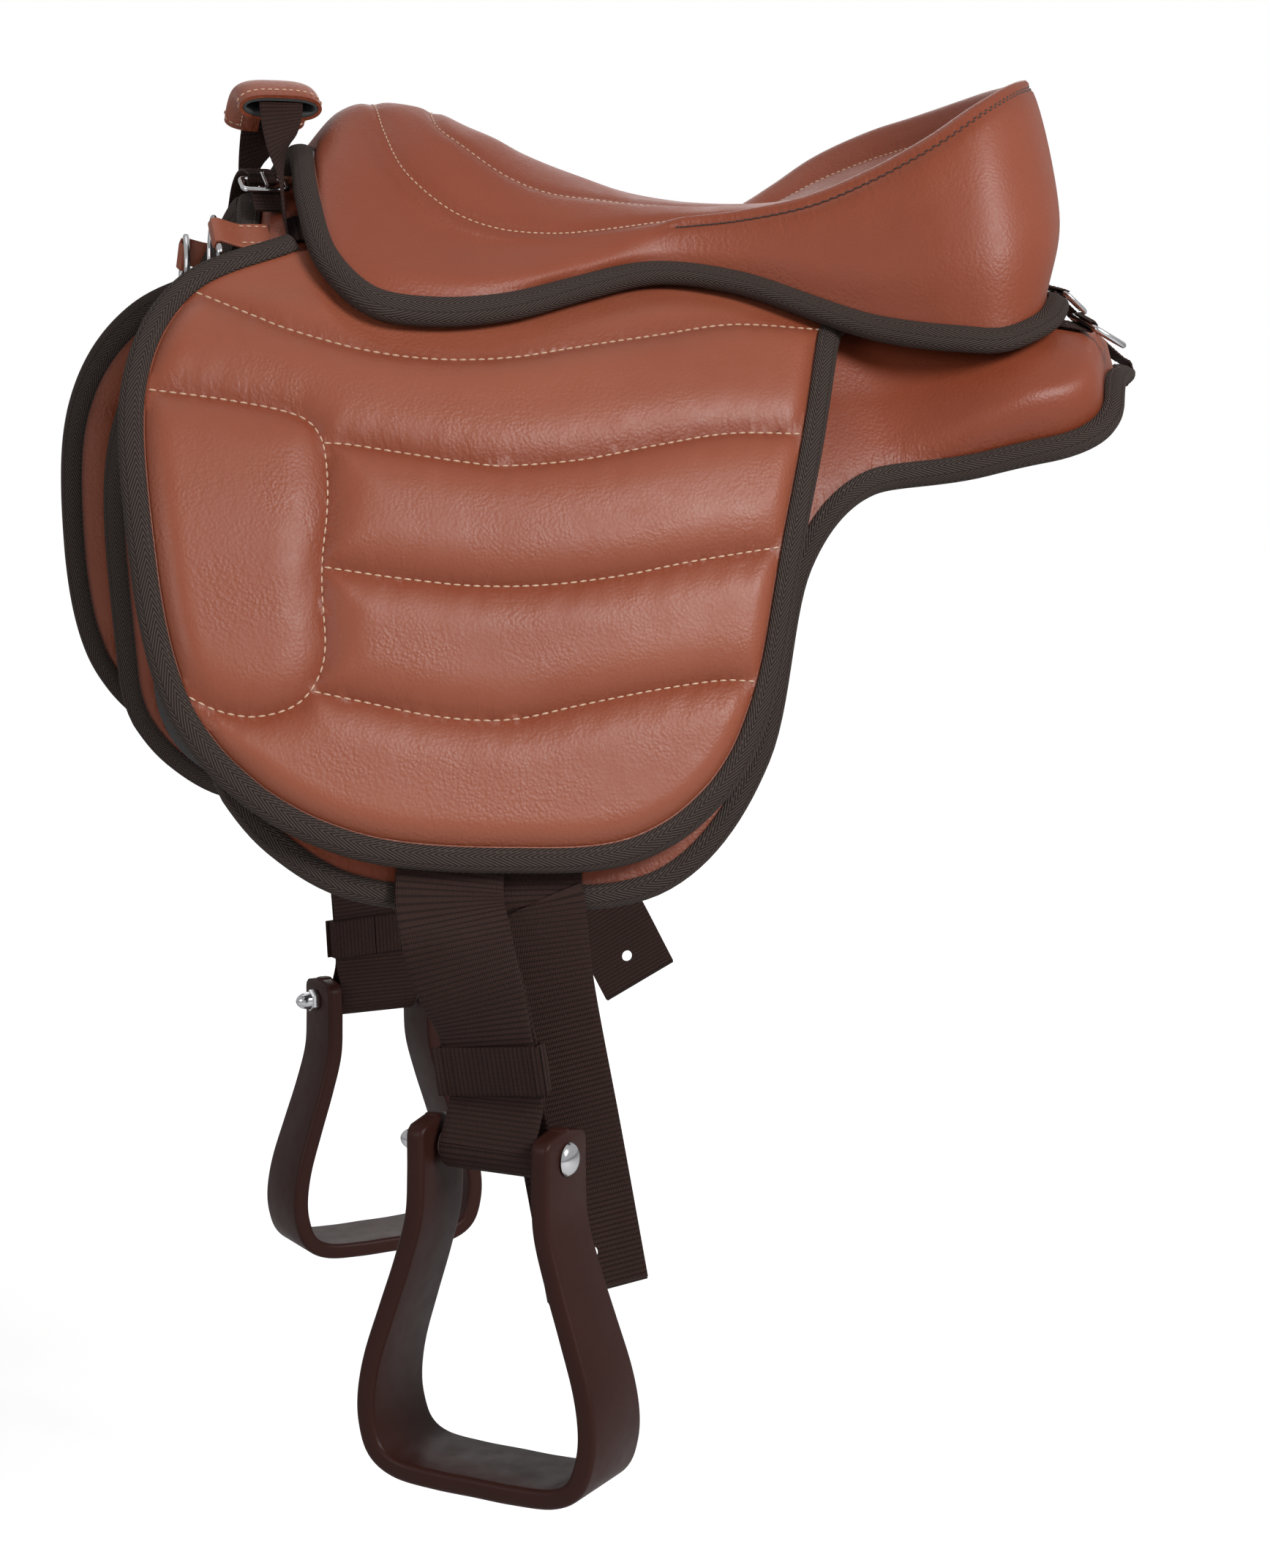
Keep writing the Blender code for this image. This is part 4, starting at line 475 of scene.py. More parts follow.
def back_point(x, reach, height=0.0):
    """Points over the horse's back; reach goes round the barrel and is negative on the left."""
    x, reach, height = np.broadcast_arrays(np.asarray(x, float), reach, height)
    left = np.abs(reach)
    crown_arc = np.minimum(left, CROWN_RADIUS * CROWN_SLOPE)
    radius = BARREL_RADIUS + (LOIN_RADIUS - BARREL_RADIUS) * ramp(x, LOIN_START, LOIN_END)
    barrel_arc = np.minimum(left - crown_arc, radius * (SIDE_SLOPE - CROWN_SLOPE))
    slope = crown_arc / CROWN_RADIUS
    lower = slope + barrel_arc / radius
    rest = left - crown_arc - barrel_arc
    y = CROWN_RADIUS * np.sin(slope) + radius * (np.sin(lower) - np.sin(slope))
    z = -CROWN_RADIUS * (1 - np.cos(slope)) - radius * (np.cos(slope) - np.cos(lower))
    y = y + rest * np.cos(lower)
    z = z - rest * np.sin(lower)
    z = z + WITHERS_LIFT * ramp(-x, -WITHERS_START, -WITHERS_END) * (
        1 - ramp(left, 0, WITHERS_REACH))
    z = z - LOIN_DROP * ramp(x, LOIN_DROP_START, LOIN_DROP_END) * (1 - ramp(left, 0, LOIN_REACH))
    side = np.where(np.asarray(reach) < 0, -1.0, 1.0)
    return np.stack((x, side * (y + height * np.sin(lower)), z + height * np.cos(lower)), axis=-1)


def spline(points, at):
    """Places on the smooth curve through the points; at counts points from 0."""
    points = np.asarray(points, float)
    at = np.asarray(at, float)
    first = np.clip(np.floor(at).astype(int), 0, len(points) - 2)
    share = (at - first).reshape(at.shape + (1,) * (points.ndim - 1))
    run = np.concatenate(([2 * points[0] - points[1]], points, [2 * points[-1] - points[-2]]))
    a, b, c, d = (run[first + k] for k in range(4))
    return b + 0.5 * share * (c - a + share * (2 * a - 5 * b + 4 * c - d
                                               + share * (3 * (b - c) + d - a)))


def between(at, marks, rows):
    """Rows read off between their marks."""
    return np.stack([np.interp(at, marks, column) for column in rows.T], axis=-1)


def even_steps(line, count):
    """Positions along a line, counted in its places, that are an even number of metres apart."""
    marks = lengths(line)
    return np.interp(np.linspace(0, marks[-1], count + 1), marks, np.arange(len(marks)))


def resample(line, pitch):
    """The line with its places an even step apart."""
    marks = lengths(line)
    count = max(int(round(marks[-1] / pitch)), 2)
    return between(np.linspace(0, marks[-1], count + 1), marks, line)


def unit(vectors):
    """The vectors at a length of one."""
    vectors = np.asarray(vectors, float)
    return vectors / np.maximum(np.linalg.norm(vectors, axis=-1, keepdims=True), 1e-12)


def grid_normals(places):
    """Normals of a grid of places, pointing to the side that its rows and columns turn about."""
    return unit(np.cross(np.gradient(places, axis=1), np.gradient(places, axis=0)))


def side_name(side):
    """left is the near side of the horse, at -Y."""
    return "left" if side < 0 else "right"


def nearest(places, line):
    """Distance of 2D places to a line of 2D points, and the nearest places on it."""
    flat = places.reshape(-1, 2)
    best, spots = np.full(len(flat), 1.0), flat.copy()
    for a, b in zip(line[:-1], line[1:]):
        run = b - a
        share = np.clip(((flat - a) @ run) / max(run @ run, 1e-12), 0, 1)
        spot = a + share[:, None] * run
        away = np.linalg.norm(flat - spot, axis=1)
        closer = away < best
        best[closer], spots[closer] = away[closer], spot[closer]
    return best.reshape(places.shape[:-1]), spots.reshape(places.shape)


def distance_to(places, line):
    """Distance of 2D places to a line of 2D points."""
    return nearest(places, line)[0]


# Making meshes


def clear_selection():
    """Deselect everything, in object mode."""
    for thing in bpy.context.selected_objects:
        thing.select_set(False)


def choose(piece):
    """Select the piece alone and make it active."""
    clear_selection()
    piece.select_set(True)
    bpy.context.view_layer.objects.active = piece


def edit(piece, operator, **settings):
    """Run an edit mode operator on all of the piece."""
    choose(piece)
    bpy.ops.object.mode_set(mode="EDIT")
    bpy.ops.mesh.select_all(action="SELECT")
    operator(**settings)
    bpy.ops.object.mode_set(mode="OBJECT")


def apply_modifier(piece, kind, **settings):
    """Add a modifier with its settings and apply it."""
    choose(piece)
    modifier = piece.modifiers.new(kind.lower(), kind)
    for key, value in settings.items():
        setattr(modifier, key, value)
    bpy.ops.object.modifier_apply(modifier=modifier.name)


def corners(piece):
    """Places of the mesh's corners."""
    places = np.empty(len(piece.data.vertices) * 3)
    piece.data.vertices.foreach_get("co", places)
    return places.reshape(-1, 3)


def move_corners(piece, places):
    """Put the mesh's corners at the places."""
    piece.data.vertices.foreach_set("co", places.ravel())
    piece.data.update()


def grid_piece(name, places):
    """A unit grid with a corner for each place, unwrapped in metres along and across them."""
    rows, columns = len(places) - 1, len(places[0]) - 1
    clear_selection()
    bpy.ops.mesh.primitive_grid_add(x_subdivisions=columns, y_subdivisions=rows, size=1)
    piece = bpy.context.object
    piece.name = name
    piece.data.name = name
    i, j = grid_places(piece, places)
    along = lengths(places[:, places.shape[1] // 2])[j]
    across = lengths(places[places.shape[0] // 2])[i]
    loops = np.empty(len(piece.data.loops), int)
    piece.data.loops.foreach_get("vertex_index", loops)
    layer = piece.data.uv_layers.active or piece.data.uv_layers.new(name="UVMap")
    layer.data.foreach_set("uv", np.stack((along[loops], across[loops]), axis=1).ravel())
    return piece


def grid_places(piece, places):
    """The column and row of each corner of a unit grid."""
    rows, columns = len(places) - 1, len(places[0]) - 1
    at = corners(piece)
    return (np.rint((at[:, 0] + 0.5) * columns).astype(int),
            np.rint((at[:, 1] + 0.5) * rows).astype(int))


def sheet(name, places):
    """A sheet through a grid of places, rows by columns, joined where its edges meet."""
    piece = grid_piece(name, places)
    i, j = grid_places(piece, places)
    move_corners(piece, places[j, i])
    merge_close(piece)
    return piece


def slab(name, low, high):
    """A closed body between two grids of places."""
    piece = grid_piece(name, high)
    edit(piece, bpy.ops.mesh.extrude_region_move)
    raised = np.empty(len(piece.data.vertices), bool)
    piece.data.vertices.foreach_get("select", raised)
    i, j = grid_places(piece, high)
    move_corners(piece, np.where(raised[:, None], high[j, i], low[j, i]))
    merge_close(piece)
    face_outwards(piece)
    return piece


def merge_close(piece):
    """Merge corners that lie on each other."""
    edit(piece, bpy.ops.mesh.remove_doubles, threshold=PROBE / 50)


def face_outwards(piece):
    """Turn the faces of a closed body outwards."""
    edit(piece, bpy.ops.mesh.normals_make_consistent, inside=False)


def loft(name, rings, caps=True):
    """A closed tube through rings of places, its ends filled."""
    piece = sheet(name, np.concatenate((rings, rings[:, :1]), axis=1))
    if caps:
        edit(piece, bpy.ops.mesh.fill_holes, sides=0)
    face_outwards(piece)
    return piece


def strap(name, points, across, width, thickness, pitch=RIB_PITCH):
    """A flat strap through the points; a pitch gives it the cross ribs of webbing."""
    points = np.asarray(points, float)
    across = unit(np.broadcast_to(across, points.shape))
    step = pitch / 4 if pitch else PANEL_CELL
    count = max(int(round(lengths(points)[-1] / step)), 3)
    at = even_steps(points, count)
    points = spline(points, at)
    across = unit(spline(across, at))
    normal = unit(np.cross(across, np.gradient(points, axis=0)))
    half = np.full(count + 1, thickness / 2)
    if pitch:
        half = half - RIB_RISE * (0.5 + 0.5 * np.cos(np.arange(count + 1) * math.pi / 2))
    middle = points[:, None] + across[:, None] * (np.array(STRAP_SHARES) * width)[:, None]
    lift = normal[:, None] * (half[:, None] * np.array(STRAP_EDGE_SHARES))[..., None]
    return slab(name, middle - lift, middle + lift)


def wire(name, points, radius, closed=True):
    """A bent round wire through the points."""
    curve = bpy.data.curves.new(name, "CURVE")
    curve.dimensions = "3D"
    curve.bevel_depth = radius
    curve.bevel_resolution = 3
    curve.use_fill_caps = not closed
    line = curve.splines.new("POLY")
    line.points.add(len(points) - 1)
    for point, place in zip(line.points, points):
        point.co = (*place, 1)
    line.use_cyclic_u = closed
    piece = bpy.data.objects.new(name, curve)
    bpy.context.scene.collection.objects.link(piece)
    choose(piece)
    bpy.ops.object.convert(target="MESH")
    merge_close(piece)
    return piece


def turned(name, profile, centre, axis, steps=40):
    """A body turned about the axis from (along, radius) pairs; a radius may vary round it."""
    turn = np.linspace(0, 2 * math.pi, steps, endpoint=False)
    rings = np.array([(radius * np.cos(turn), radius * np.sin(turn), np.full(steps, along))
                      for along, radius in profile]).transpose(0, 2, 1)
    piece = loft(name, rings)
    piece.data.transform(Matrix.Translation(Vector(centre)) @ (
        Vector(axis).to_track_quat("Z", "Y").to_matrix().to_4x4()))
    face_outwards(piece)
    return piece


def stitches(name, line, normals, size=STITCH):
    """A row of stitches along a line, each one a small low body."""
    pitch, length, radius = size
    clear_selection()
    bpy.ops.mesh.primitive_uv_sphere_add(segments=6, ring_count=4, radius=1)
    seed = bpy.context.object
    shape = corners(seed)
    faces = [tuple(face.vertices) for face in seed.data.polygons]
    bpy.data.objects.remove(seed)
    marks = lengths(line)
    count = max(int(marks[-1] / pitch), 1)
    order = np.arange(len(marks))
    steps = np.interp((np.arange(count) + 0.5) * marks[-1] / count, marks, order)
    along = unit(between(steps, order, np.gradient(line, axis=0)))
    up = unit(between(steps, order, np.broadcast_to(normals, line.shape)))
    aside = unit(np.cross(up, along))
    up = np.cross(along, aside)
    spots = spline(line, steps) + up * radius * STITCH_PROUD
    body = shape @ np.stack((along * length / 2, aside * radius, up * radius), axis=1)
    mesh = bpy.data.meshes.new(name)
    mesh.from_pydata((body + spots[:, None]).reshape(-1, 3).tolist(), [],
                     [tuple(corner + k * len(shape) for corner in face)
                      for k in range(count) for face in faces])
    piece = bpy.data.objects.new(name, mesh)
    bpy.context.scene.collection.objects.link(piece)
    return piece


def mark_nearness(piece, lines, reach=SEAM_SHADE_REACH):
    """Keep how near each corner of the piece lies to the lines, for its finish's painted shade."""
    places = corners(piece)
    best = np.full(len(places), 1.0)
    for line in lines:
        for start in range(0, len(places), 4000):
            part = np.s_[start:start + 4000]
            away = np.linalg.norm(places[part, None] - line[None], axis=-1).min(axis=1)
            best[part] = np.minimum(best[part], away)
    layer = piece.data.attributes.new("seam", "FLOAT", "POINT")
    layer.data.foreach_set("value", np.exp(-(best / reach) ** 2).astype(np.float32))


def join(name, pieces):
    """Several pieces made one."""
    clear_selection()
    for piece in pieces:
        piece.select_set(True)
    bpy.context.view_layer.objects.active = pieces[0]
    bpy.ops.object.join()
    pieces[0].name = name
    pieces[0].data.name = name
    return pieces[0]


def dress(piece, kind, body, *nodes, padded=None, sharp=40):
    """Give a piece its finish and shading, its body and the nodes it stands for."""
    piece.data.materials.clear()
    piece.data.materials.append(FINISHES[kind])
    choose(piece)
    bpy.ops.object.shade_smooth_by_angle(angle=math.radians(sharp), keep_sharp_edges=False)
    if nodes:
        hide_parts(*nodes)
    if body:
        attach(piece, body)


# Panels with a bound edge


def net_places(shares, length, front, reach, columns, rows, least=0.0):
    """Places (x, reach) of a round-cornered panel through a net, for its columns and rows."""
    net = np.array(shares) * (length, reach) - (front, 0.0)
    net[..., 1] = np.maximum(net[..., 1], least)
    return soften_corners(spline(np.stack([spline(line, columns) for line in net]), rows))


def edge_directions(line):
    """Directions in the sheet, square to a line that runs with the sheet on its right."""
    along = unit(np.gradient(line, axis=0))
    return np.stack((-along[:, 1], along[:, 0]), axis=-1)


def bound_edge(inner):
    """Inner places and outward directions along a panel's front, lower and rear edges."""
    places, outs = [], []
    for line in (inner[:, 0], inner[-1], inner[::-1, -1]):
        out = edge_directions(line)
        if outs:
            turn = np.linspace(0, 1, CORNER_STEPS + 2)[1:-1, None]
            places.append(np.repeat(line[:1], CORNER_STEPS, axis=0))
            outs.append(unit(outs[-1][-1] + (out[0] - outs[-1][-1]) * turn))
        places.append(line)
        outs.append(out)
    return np.concatenate(places), np.concatenate(outs)


def with_rim(inner, width):
    """The grid of a panel grown by a rim at its front, lower and rear edges."""
    push = np.zeros(inner.shape)
    push[:, 0] += edge_directions(inner[:, 0])
    push[:, -1] -= edge_directions(inner[:, -1])
    push[-1] += edge_directions(inner[-1])
    sides = ((0, 1), (1, 1), (0, 0))
    push = np.pad(unit(push), sides, mode="edge")
    push[:-1, 1:-1] = 0
    return np.pad(inner, sides, mode="edge") + push * width


def lengths(line):
    """Metres along a line at each of its places."""
    return np.concatenate(([0.0], np.cumsum(np.linalg.norm(np.diff(line, axis=0), axis=1))))


def soften_corners(inner):
    """Round the two lower corners of a panel."""
    made = inner.copy()
    for turn in (1, -1):
        grid = inner[::-1, ::turn]
        corner = grid[0, 0]
        low, up = lengths(grid[0]), lengths(grid[:, 0])
        legs = [unit(line[np.searchsorted(at, CORNER_ROUND)] - corner)
                for line, at in ((grid[:, 0], up), (grid[0], low))]
        place = low[None] - up[:, None]
        depth = np.minimum(low[None], up[:, None])
        share = np.clip(place / CORNER_ROUND / 2 + 0.5, 0, 1)[..., None]
        round_off = (legs[0] * (1 - share) ** 2 + legs[1] * share ** 2) * CORNER_ROUND
        away = place[..., None]
        move = round_off - np.where(away < 0, -away * legs[0], away * legs[1])
        fade = np.clip(1 - depth / CORNER_ROUND, 0, 1) ** 2 * (np.abs(place) < CORNER_ROUND)
        made += (move * fade[..., None])[::-1, ::turn]
    return made


def over_back(places, side, height):
    """Places (x, reach) laid over one side of the back at a height."""
    return back_point(places[..., 0], side * places[..., 1], height)


def tape_section(under, over):
    """The closed section of folded tape as (out, height) about a rim between two levels."""
    middle, half = (under + over) / 2, (over - under) / 2
    shares = np.linspace(0, 1, TAPE_LIP_STEPS)
    turn = np.radians(np.linspace(90, -90, TAPE_NOSE_STEPS))

    def skin(lift, nose):
        """One skin of the tape, from lip to lip round the nose."""
        high = half + lift + TAPE_PUFF * np.sin(shares * math.pi) * (lift > TAPE_THICKNESS)
        top = np.stack((-TAPE_LIP * (1 - shares), high), axis=-1)
        bow = np.stack((np.cos(turn) * nose, np.sin(turn) * (half + lift)), axis=-1)
        return np.concatenate((top[:-1], bow, (top * (1, -1))[-2::-1]))
    outer = skin(TAPE_LIFT + TAPE_THICKNESS, TAPE_NOSE)
    inner = skin(TAPE_LIFT, TAPE_NOSE - TAPE_THICKNESS)
    return np.concatenate((outer, inner[::-1])) + (0.0, middle)


def edge_tape(name, inner, outs, side, under, over, closed=False):
    """Folded herringbone tape along a bound edge, with levels that may change along it."""
    count = len(inner)
    under, over = np.broadcast_to(under, count), np.broadcast_to(over, count)
    sections = np.stack([tape_section(a, b) for a, b in zip(under, over)])
    spots = (inner + outs * RIM_WIDTH)[:, None] + outs[:, None] * sections[..., :1]
    rings = back_point(spots[..., 0], side * spots[..., 1], sections[..., 1])
    return loft(name, rings, caps=not closed)


def rise(distance, half, power=CHANNEL_POWER):
    """A padded form's rise from 0 at a seam to 1 at half a channel from it."""
    return 1 - (1 - np.clip(distance / half, 0, 1)) ** power


def sewn(name, line, side, level, size=STITCH):
    """A row of stitches along places (x, reach) over the back."""
    here = over_back(line, side, level)
    return stitches(name, here, over_back(line, side, level + PROBE) - here, size)


def tape_thread(name, edge, outs, side, level):
    """The fine stitches near the inner edge of a panel's tape."""
    spots = edge + outs * (RIM_WIDTH - TAPE_LIP + TAPE_STITCH_INSET)
    return sewn(name, spots, side, level + TAPE_LIFT + TAPE_THICKNESS + TAPE_STITCH_LIFT, FINE)


# Flaps


def flap_seams():
    """The flap's stitched lines as places (x, reach) a few millimetres apart."""
    lines = {}
    for word, shares in FLAP_SEAM_SHARES.items():
        points = np.array(shares) * (FLAP_LENGTH, FLAP_REACH) - (FLAP_FRONT, 0.0)
        fine = spline(points, np.linspace(0, len(points) - 1, SEAM_FINE * len(points)))
        lines[word] = resample(fine, SEAM_STEP)
    return lines


def flap_relief(places, edge, seams):
    """Height of the quilting over the rim's level."""
    near_seam = np.min([distance_to(places, line) for line in seams.values()], axis=0)
    from_edge = distance_to(places, edge)
    top = np.interp(places[..., 0], seams["top"][:, 0], seams["top"][:, 1])
    below = ramp(places[..., 1] - top, -PROBE, PROBE)
    outline, _ = seat_outline(np.linspace(3, len(SEAT_SHARES) - 1, 60))
    seat_reach = np.interp(places[..., 0], outline[:, 0], outline[:, 1])
    upper = FLAP_TOP_PUFF * ramp(places[..., 1] - seat_reach, TOP_PUFF_START, TOP_PUFF_END)
    puff = upper + (FLAP_PUFF - upper) * below
    high = puff * rise(near_seam, CHANNEL_HALF) * rise(from_edge, EDGE_HALF)
    short, long = (places @ PUCKER_RUN * 2 * math.pi / pitch for pitch in PUCKER_PITCHES)
    ripple = np.sin(short) + 0.7 * np.sin(long + 1)
    near = np.exp(-((near_seam - PUCKER_INSET) / PUCKER_REACH) ** 2)
    near = near * rise(near_seam, PUCKER_INSET) * rise(from_edge, PUCKER_EDGE)
    return high + PUCKER_HEIGHT * ripple * near * below


def snap_to_seams(inner, seams):
    """Move the places beside a seam onto it, so that its groove runs through them."""
    made = inner.copy()
    inside = inner[1:-1, 1:-1]
    best = np.full(inside.shape[:-1], SNAP_REACH)
    for line in seams:
        away, spots = nearest(inside, line)
        closer = away < best
        best[closer] = away[closer]
        made[1:-1, 1:-1][closer] = spots[closer]
    return made


def flap(side):
    """One flap: its quilted leather, its edge tape and its thread."""
    word = side_name(side)
    inner = net_places(FLAP_NET_SHARES, FLAP_LENGTH, FLAP_FRONT, FLAP_REACH,
                       np.linspace(0, 4, FLAP_COLUMNS + 1), np.linspace(0, 5, FLAP_ROWS + 1))
    edge, outs = bound_edge(inner)
    seams = flap_seams()
    inner = snap_to_seams(inner, seams.values())
    grown = with_rim(inner, RIM_WIDTH)
    level = FLAP_UNDER + FLAP_RIM
    high = np.full(grown.shape[:-1], level)
    high[:-1, 1:-1] += flap_relief(inner, edge, seams)
    skin = slab("flap_quilted_" + word, over_back(grown, side, FLAP_UNDER),
                over_back(grown, side, high))
    mark_nearness(skin, [over_back(line, side, level) for line in seams.values()])
    binding = edge_tape("flap_tape_" + word, edge, outs, side, FLAP_UNDER, level)
    thread = join("flap_thread_" + word, [sewn("row", resample(line, FLAP_LINE_STEP), side, level)
                                          for line in seams.values()])
    dark = tape_thread("flap_tape_thread_" + word, edge, outs, side, level)
    bend = [back_point(0.0, side * reach, FLAP_UNDER)
            for reach in (BEND_REACH - BEND_BAND, BEND_REACH + BEND_BAND)]
    dress(skin, "leather", None, "flap_top_" + word, "flap_" + word, padded=0.7)
    dress(binding, "tape", None, *(node + word for node in FLAP_TAPE_NODES))
    dress(thread, "thread", None)
    dress(dark, "dark_thread", None)
    for piece in (skin, binding, thread, dark):
        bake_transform(piece)


# Base


def pad_height(x, reach):
    """Height of the base padding away from its edges."""
    rear = ramp(x, PAD_REAR_START, PAD_REAR_END)
    front = (PAD_FRONT_HEIGHT - PAD_RIM) * (1 - ramp(reach, PAD_SHOULDER_START, PAD_SHOULDER_END))
    return PAD_RIM + front * (1 - rear) + (PAD_REAR_HEIGHT - PAD_RIM) * rear


def base(side):
    """One half of the base: the padded leather, its edge tape and the felt on the horse's side."""
    word = side_name(side)
    net = (PAD_NET_SHARES, PAD_LENGTH, PAD_FRONT, PAD_REACH)
    inner = net_places(*net, np.linspace(0, 8, PAD_COLUMNS + 1),
                       np.linspace(0, 3, PAD_ROWS + 1), SPINE_HALF_GAP)
    edge, outs = bound_edge(inner)
    share = rise(distance_to(inner, edge), PAD_EDGE_HALF)
    grown = with_rim(inner, RIM_WIDTH)
    high = np.full(grown.shape[:-1], PAD_EDGE)
    high[:-1, 1:-1] += (pad_height(inner[..., 0], inner[..., 1]) - PAD_EDGE) * share
    pad = slab("base_leather_" + word, over_back(grown, side, 0.0), over_back(grown, side, high))
    mark_nearness(pad, [over_back(edge, side, PAD_EDGE)])
    # The pad takes the darker copy of the leather, as painted shade
    dress(pad, "shaded_leather", "saddle", "base_pad_" + word, padded=0.6)
    binding = edge_tape("base_tape_" + word, edge, outs, side, 0.0, PAD_EDGE)
    dress(binding, "tape", "saddle", "base_binding_" + word)
    dress(tape_thread("base_tape_thread_" + word, edge, outs, side, PAD_EDGE), "dark_thread",
          "saddle")
    felt = net_places(*net, np.linspace(PANEL_INSET, 8 - PANEL_INSET, PANEL_COLUMNS + 1),
                      np.linspace(0, 3, PANEL_ROWS + 1), SPINE_HALF_GAP)
    outline = np.concatenate((felt[0, ::-1], felt[:, 0], felt[-1], felt[::-1, -1]))
    soft = rise(distance_to(felt, outline), PANEL_THICKNESS, 2) * PANEL_THICKNESS / 2
    middle = -PANEL_CLEARANCE - PANEL_THICKNESS / 2
    panel = slab("felt_panel_" + word, over_back(felt, side, middle - soft),
                 over_back(felt, side, middle + soft))
    dress(panel, "felt", "saddle", "under_panel_" + word, padded=0.5)


def spine():
    """The leather strip over the spine, stitched along both edges."""
    ends = STRIP_INSET - PAD_FRONT, PAD_LENGTH - PAD_FRONT - STRIP_INSET * 2
    x = np.linspace(*ends, 121)[:, None]
    reach = np.linspace(-1, 1, 13)[None] * STRIP_HALF_WIDTH
    level = pad_height(x, np.abs(reach)) + STRIP_CLEARANCE
    strip = slab("spine_leather", back_point(x, reach, level),
                 back_point(x, reach, level + STRIP_THICKNESS))
    dress(strip, "leather", "saddle", "spine_strip", padded=0.1)
    run = np.linspace(*ends, 200)
    seam = STRIP_HALF_WIDTH - STRIP_SEAM_INSET
    line = np.stack((run, np.full(len(run), seam)), axis=-1)
    high = pad_height(run, seam) + STRIP_CLEARANCE + STRIP_THICKNESS
    dress(join("spine_thread", [sewn("row", line, side, high) for side in (-1, 1)]), "thread",
          "saddle")


# Seat


def seat_level(x):
    """Height of the seat's underside over the back."""
    return SEAT_LEVEL + (SEAT_LEVEL_REAR - SEAT_LEVEL) * ramp(x, SEAT_LEVEL_START, SEAT_LEVEL_END)


def seat_outline(stations):
    """The seat's edge as (x, reach) and its outward directions at the stations."""
    line = np.array(SEAT_SHARES)[:, :2] * (SEAT_LENGTH, SEAT_REACH) - (SEAT_FRONT, 0.0)
    flip = (1, -1)
    line = np.vstack((line[2:0:-1] * flip, line, line[-2:-4:-1] * flip))
    along = unit(spline(line, stations + 2 + STATION_STEP)
                 - spline(line, stations + 2 - STATION_STEP))
    return spline(line, stations + 2), np.stack((-along[:, 1], along[:, 0]), axis=-1)


def seat_places(stations, steps):
    """Places of the seat's outside on the left; step 0 is inside the bound edge, 5 the middle."""
    rows = np.array(SEAT_SHARES)
    flip = np.array((1, -1, 1, -1, 1, 1, 1, 1, 1))
    row = spline(np.vstack((rows[1] * flip, rows, rows[-2] * flip)), stations + 1)
    edge, outward = seat_outline(stations)
    inner = edge - outward * RIM_WIDTH
    ends = [back_point(spot[:, 0], -spot[:, 1], seat_level(spot[:, 0]) + SEAT_FLANGE)
            for spot in (edge, inner)]
    zero = np.zeros(len(stations))
    rim = np.stack((row[:, 2] * SEAT_LENGTH - SEAT_FRONT, -row[:, 3] * SEAT_HALF_WIDTH,
                    row[:, 4] * CANTLE_HEIGHT), axis=-1)
    ridge = np.stack((row[:, 5] * SEAT_LENGTH - SEAT_FRONT, zero, row[:, 6] * CANTLE_HEIGHT),
                     axis=-1)
    away = unit(np.stack((outward[:, 0], -outward[:, 1], zero), axis=-1))
    climb = rim - ends[1]
    bulge = ends[1] + climb * SEAT_BULGE_SHARE
    bulge += away * np.linalg.norm(climb, axis=1, keepdims=True) * SEAT_BULGE_OUT_SHARE
    seams = []
    for share in (row[:, 7], row[:, 8]):
        seam = rim + (ridge - rim) * share[:, None]
        crown = SEAT_POMMEL_CROWN * (1 - ramp(rim[:, 0], POMMEL_CROWN_START, POMMEL_CROWN_END))
        seam[:, 2] = ridge[:, 2] + (rim[:, 2] - ridge[:, 2]) * (1 - share) ** SEAT_CROWN_POWER
        seam[:, 2] += crown * 4 * share * (1 - share)
        seams.append(seam)
    line = np.stack((ends[1], bulge, rim, seams[0], seams[1], ridge, seams[1] * (1, -1, 1)))
    inside = spline(line, np.maximum(steps, 0.0))
    outside = ends[1] + (ends[0] - ends[1]) * -np.minimum(steps, 0.0)[:, None, None]
    return np.where(steps[:, None, None] < 0, outside, inside).transpose(1, 0, 2)


def both_halves(left):
    """A closed round of places from those of the left half, which starts and ends in the middle."""
    return np.concatenate((left, left[-2::-1] * (1, -1, 1)))


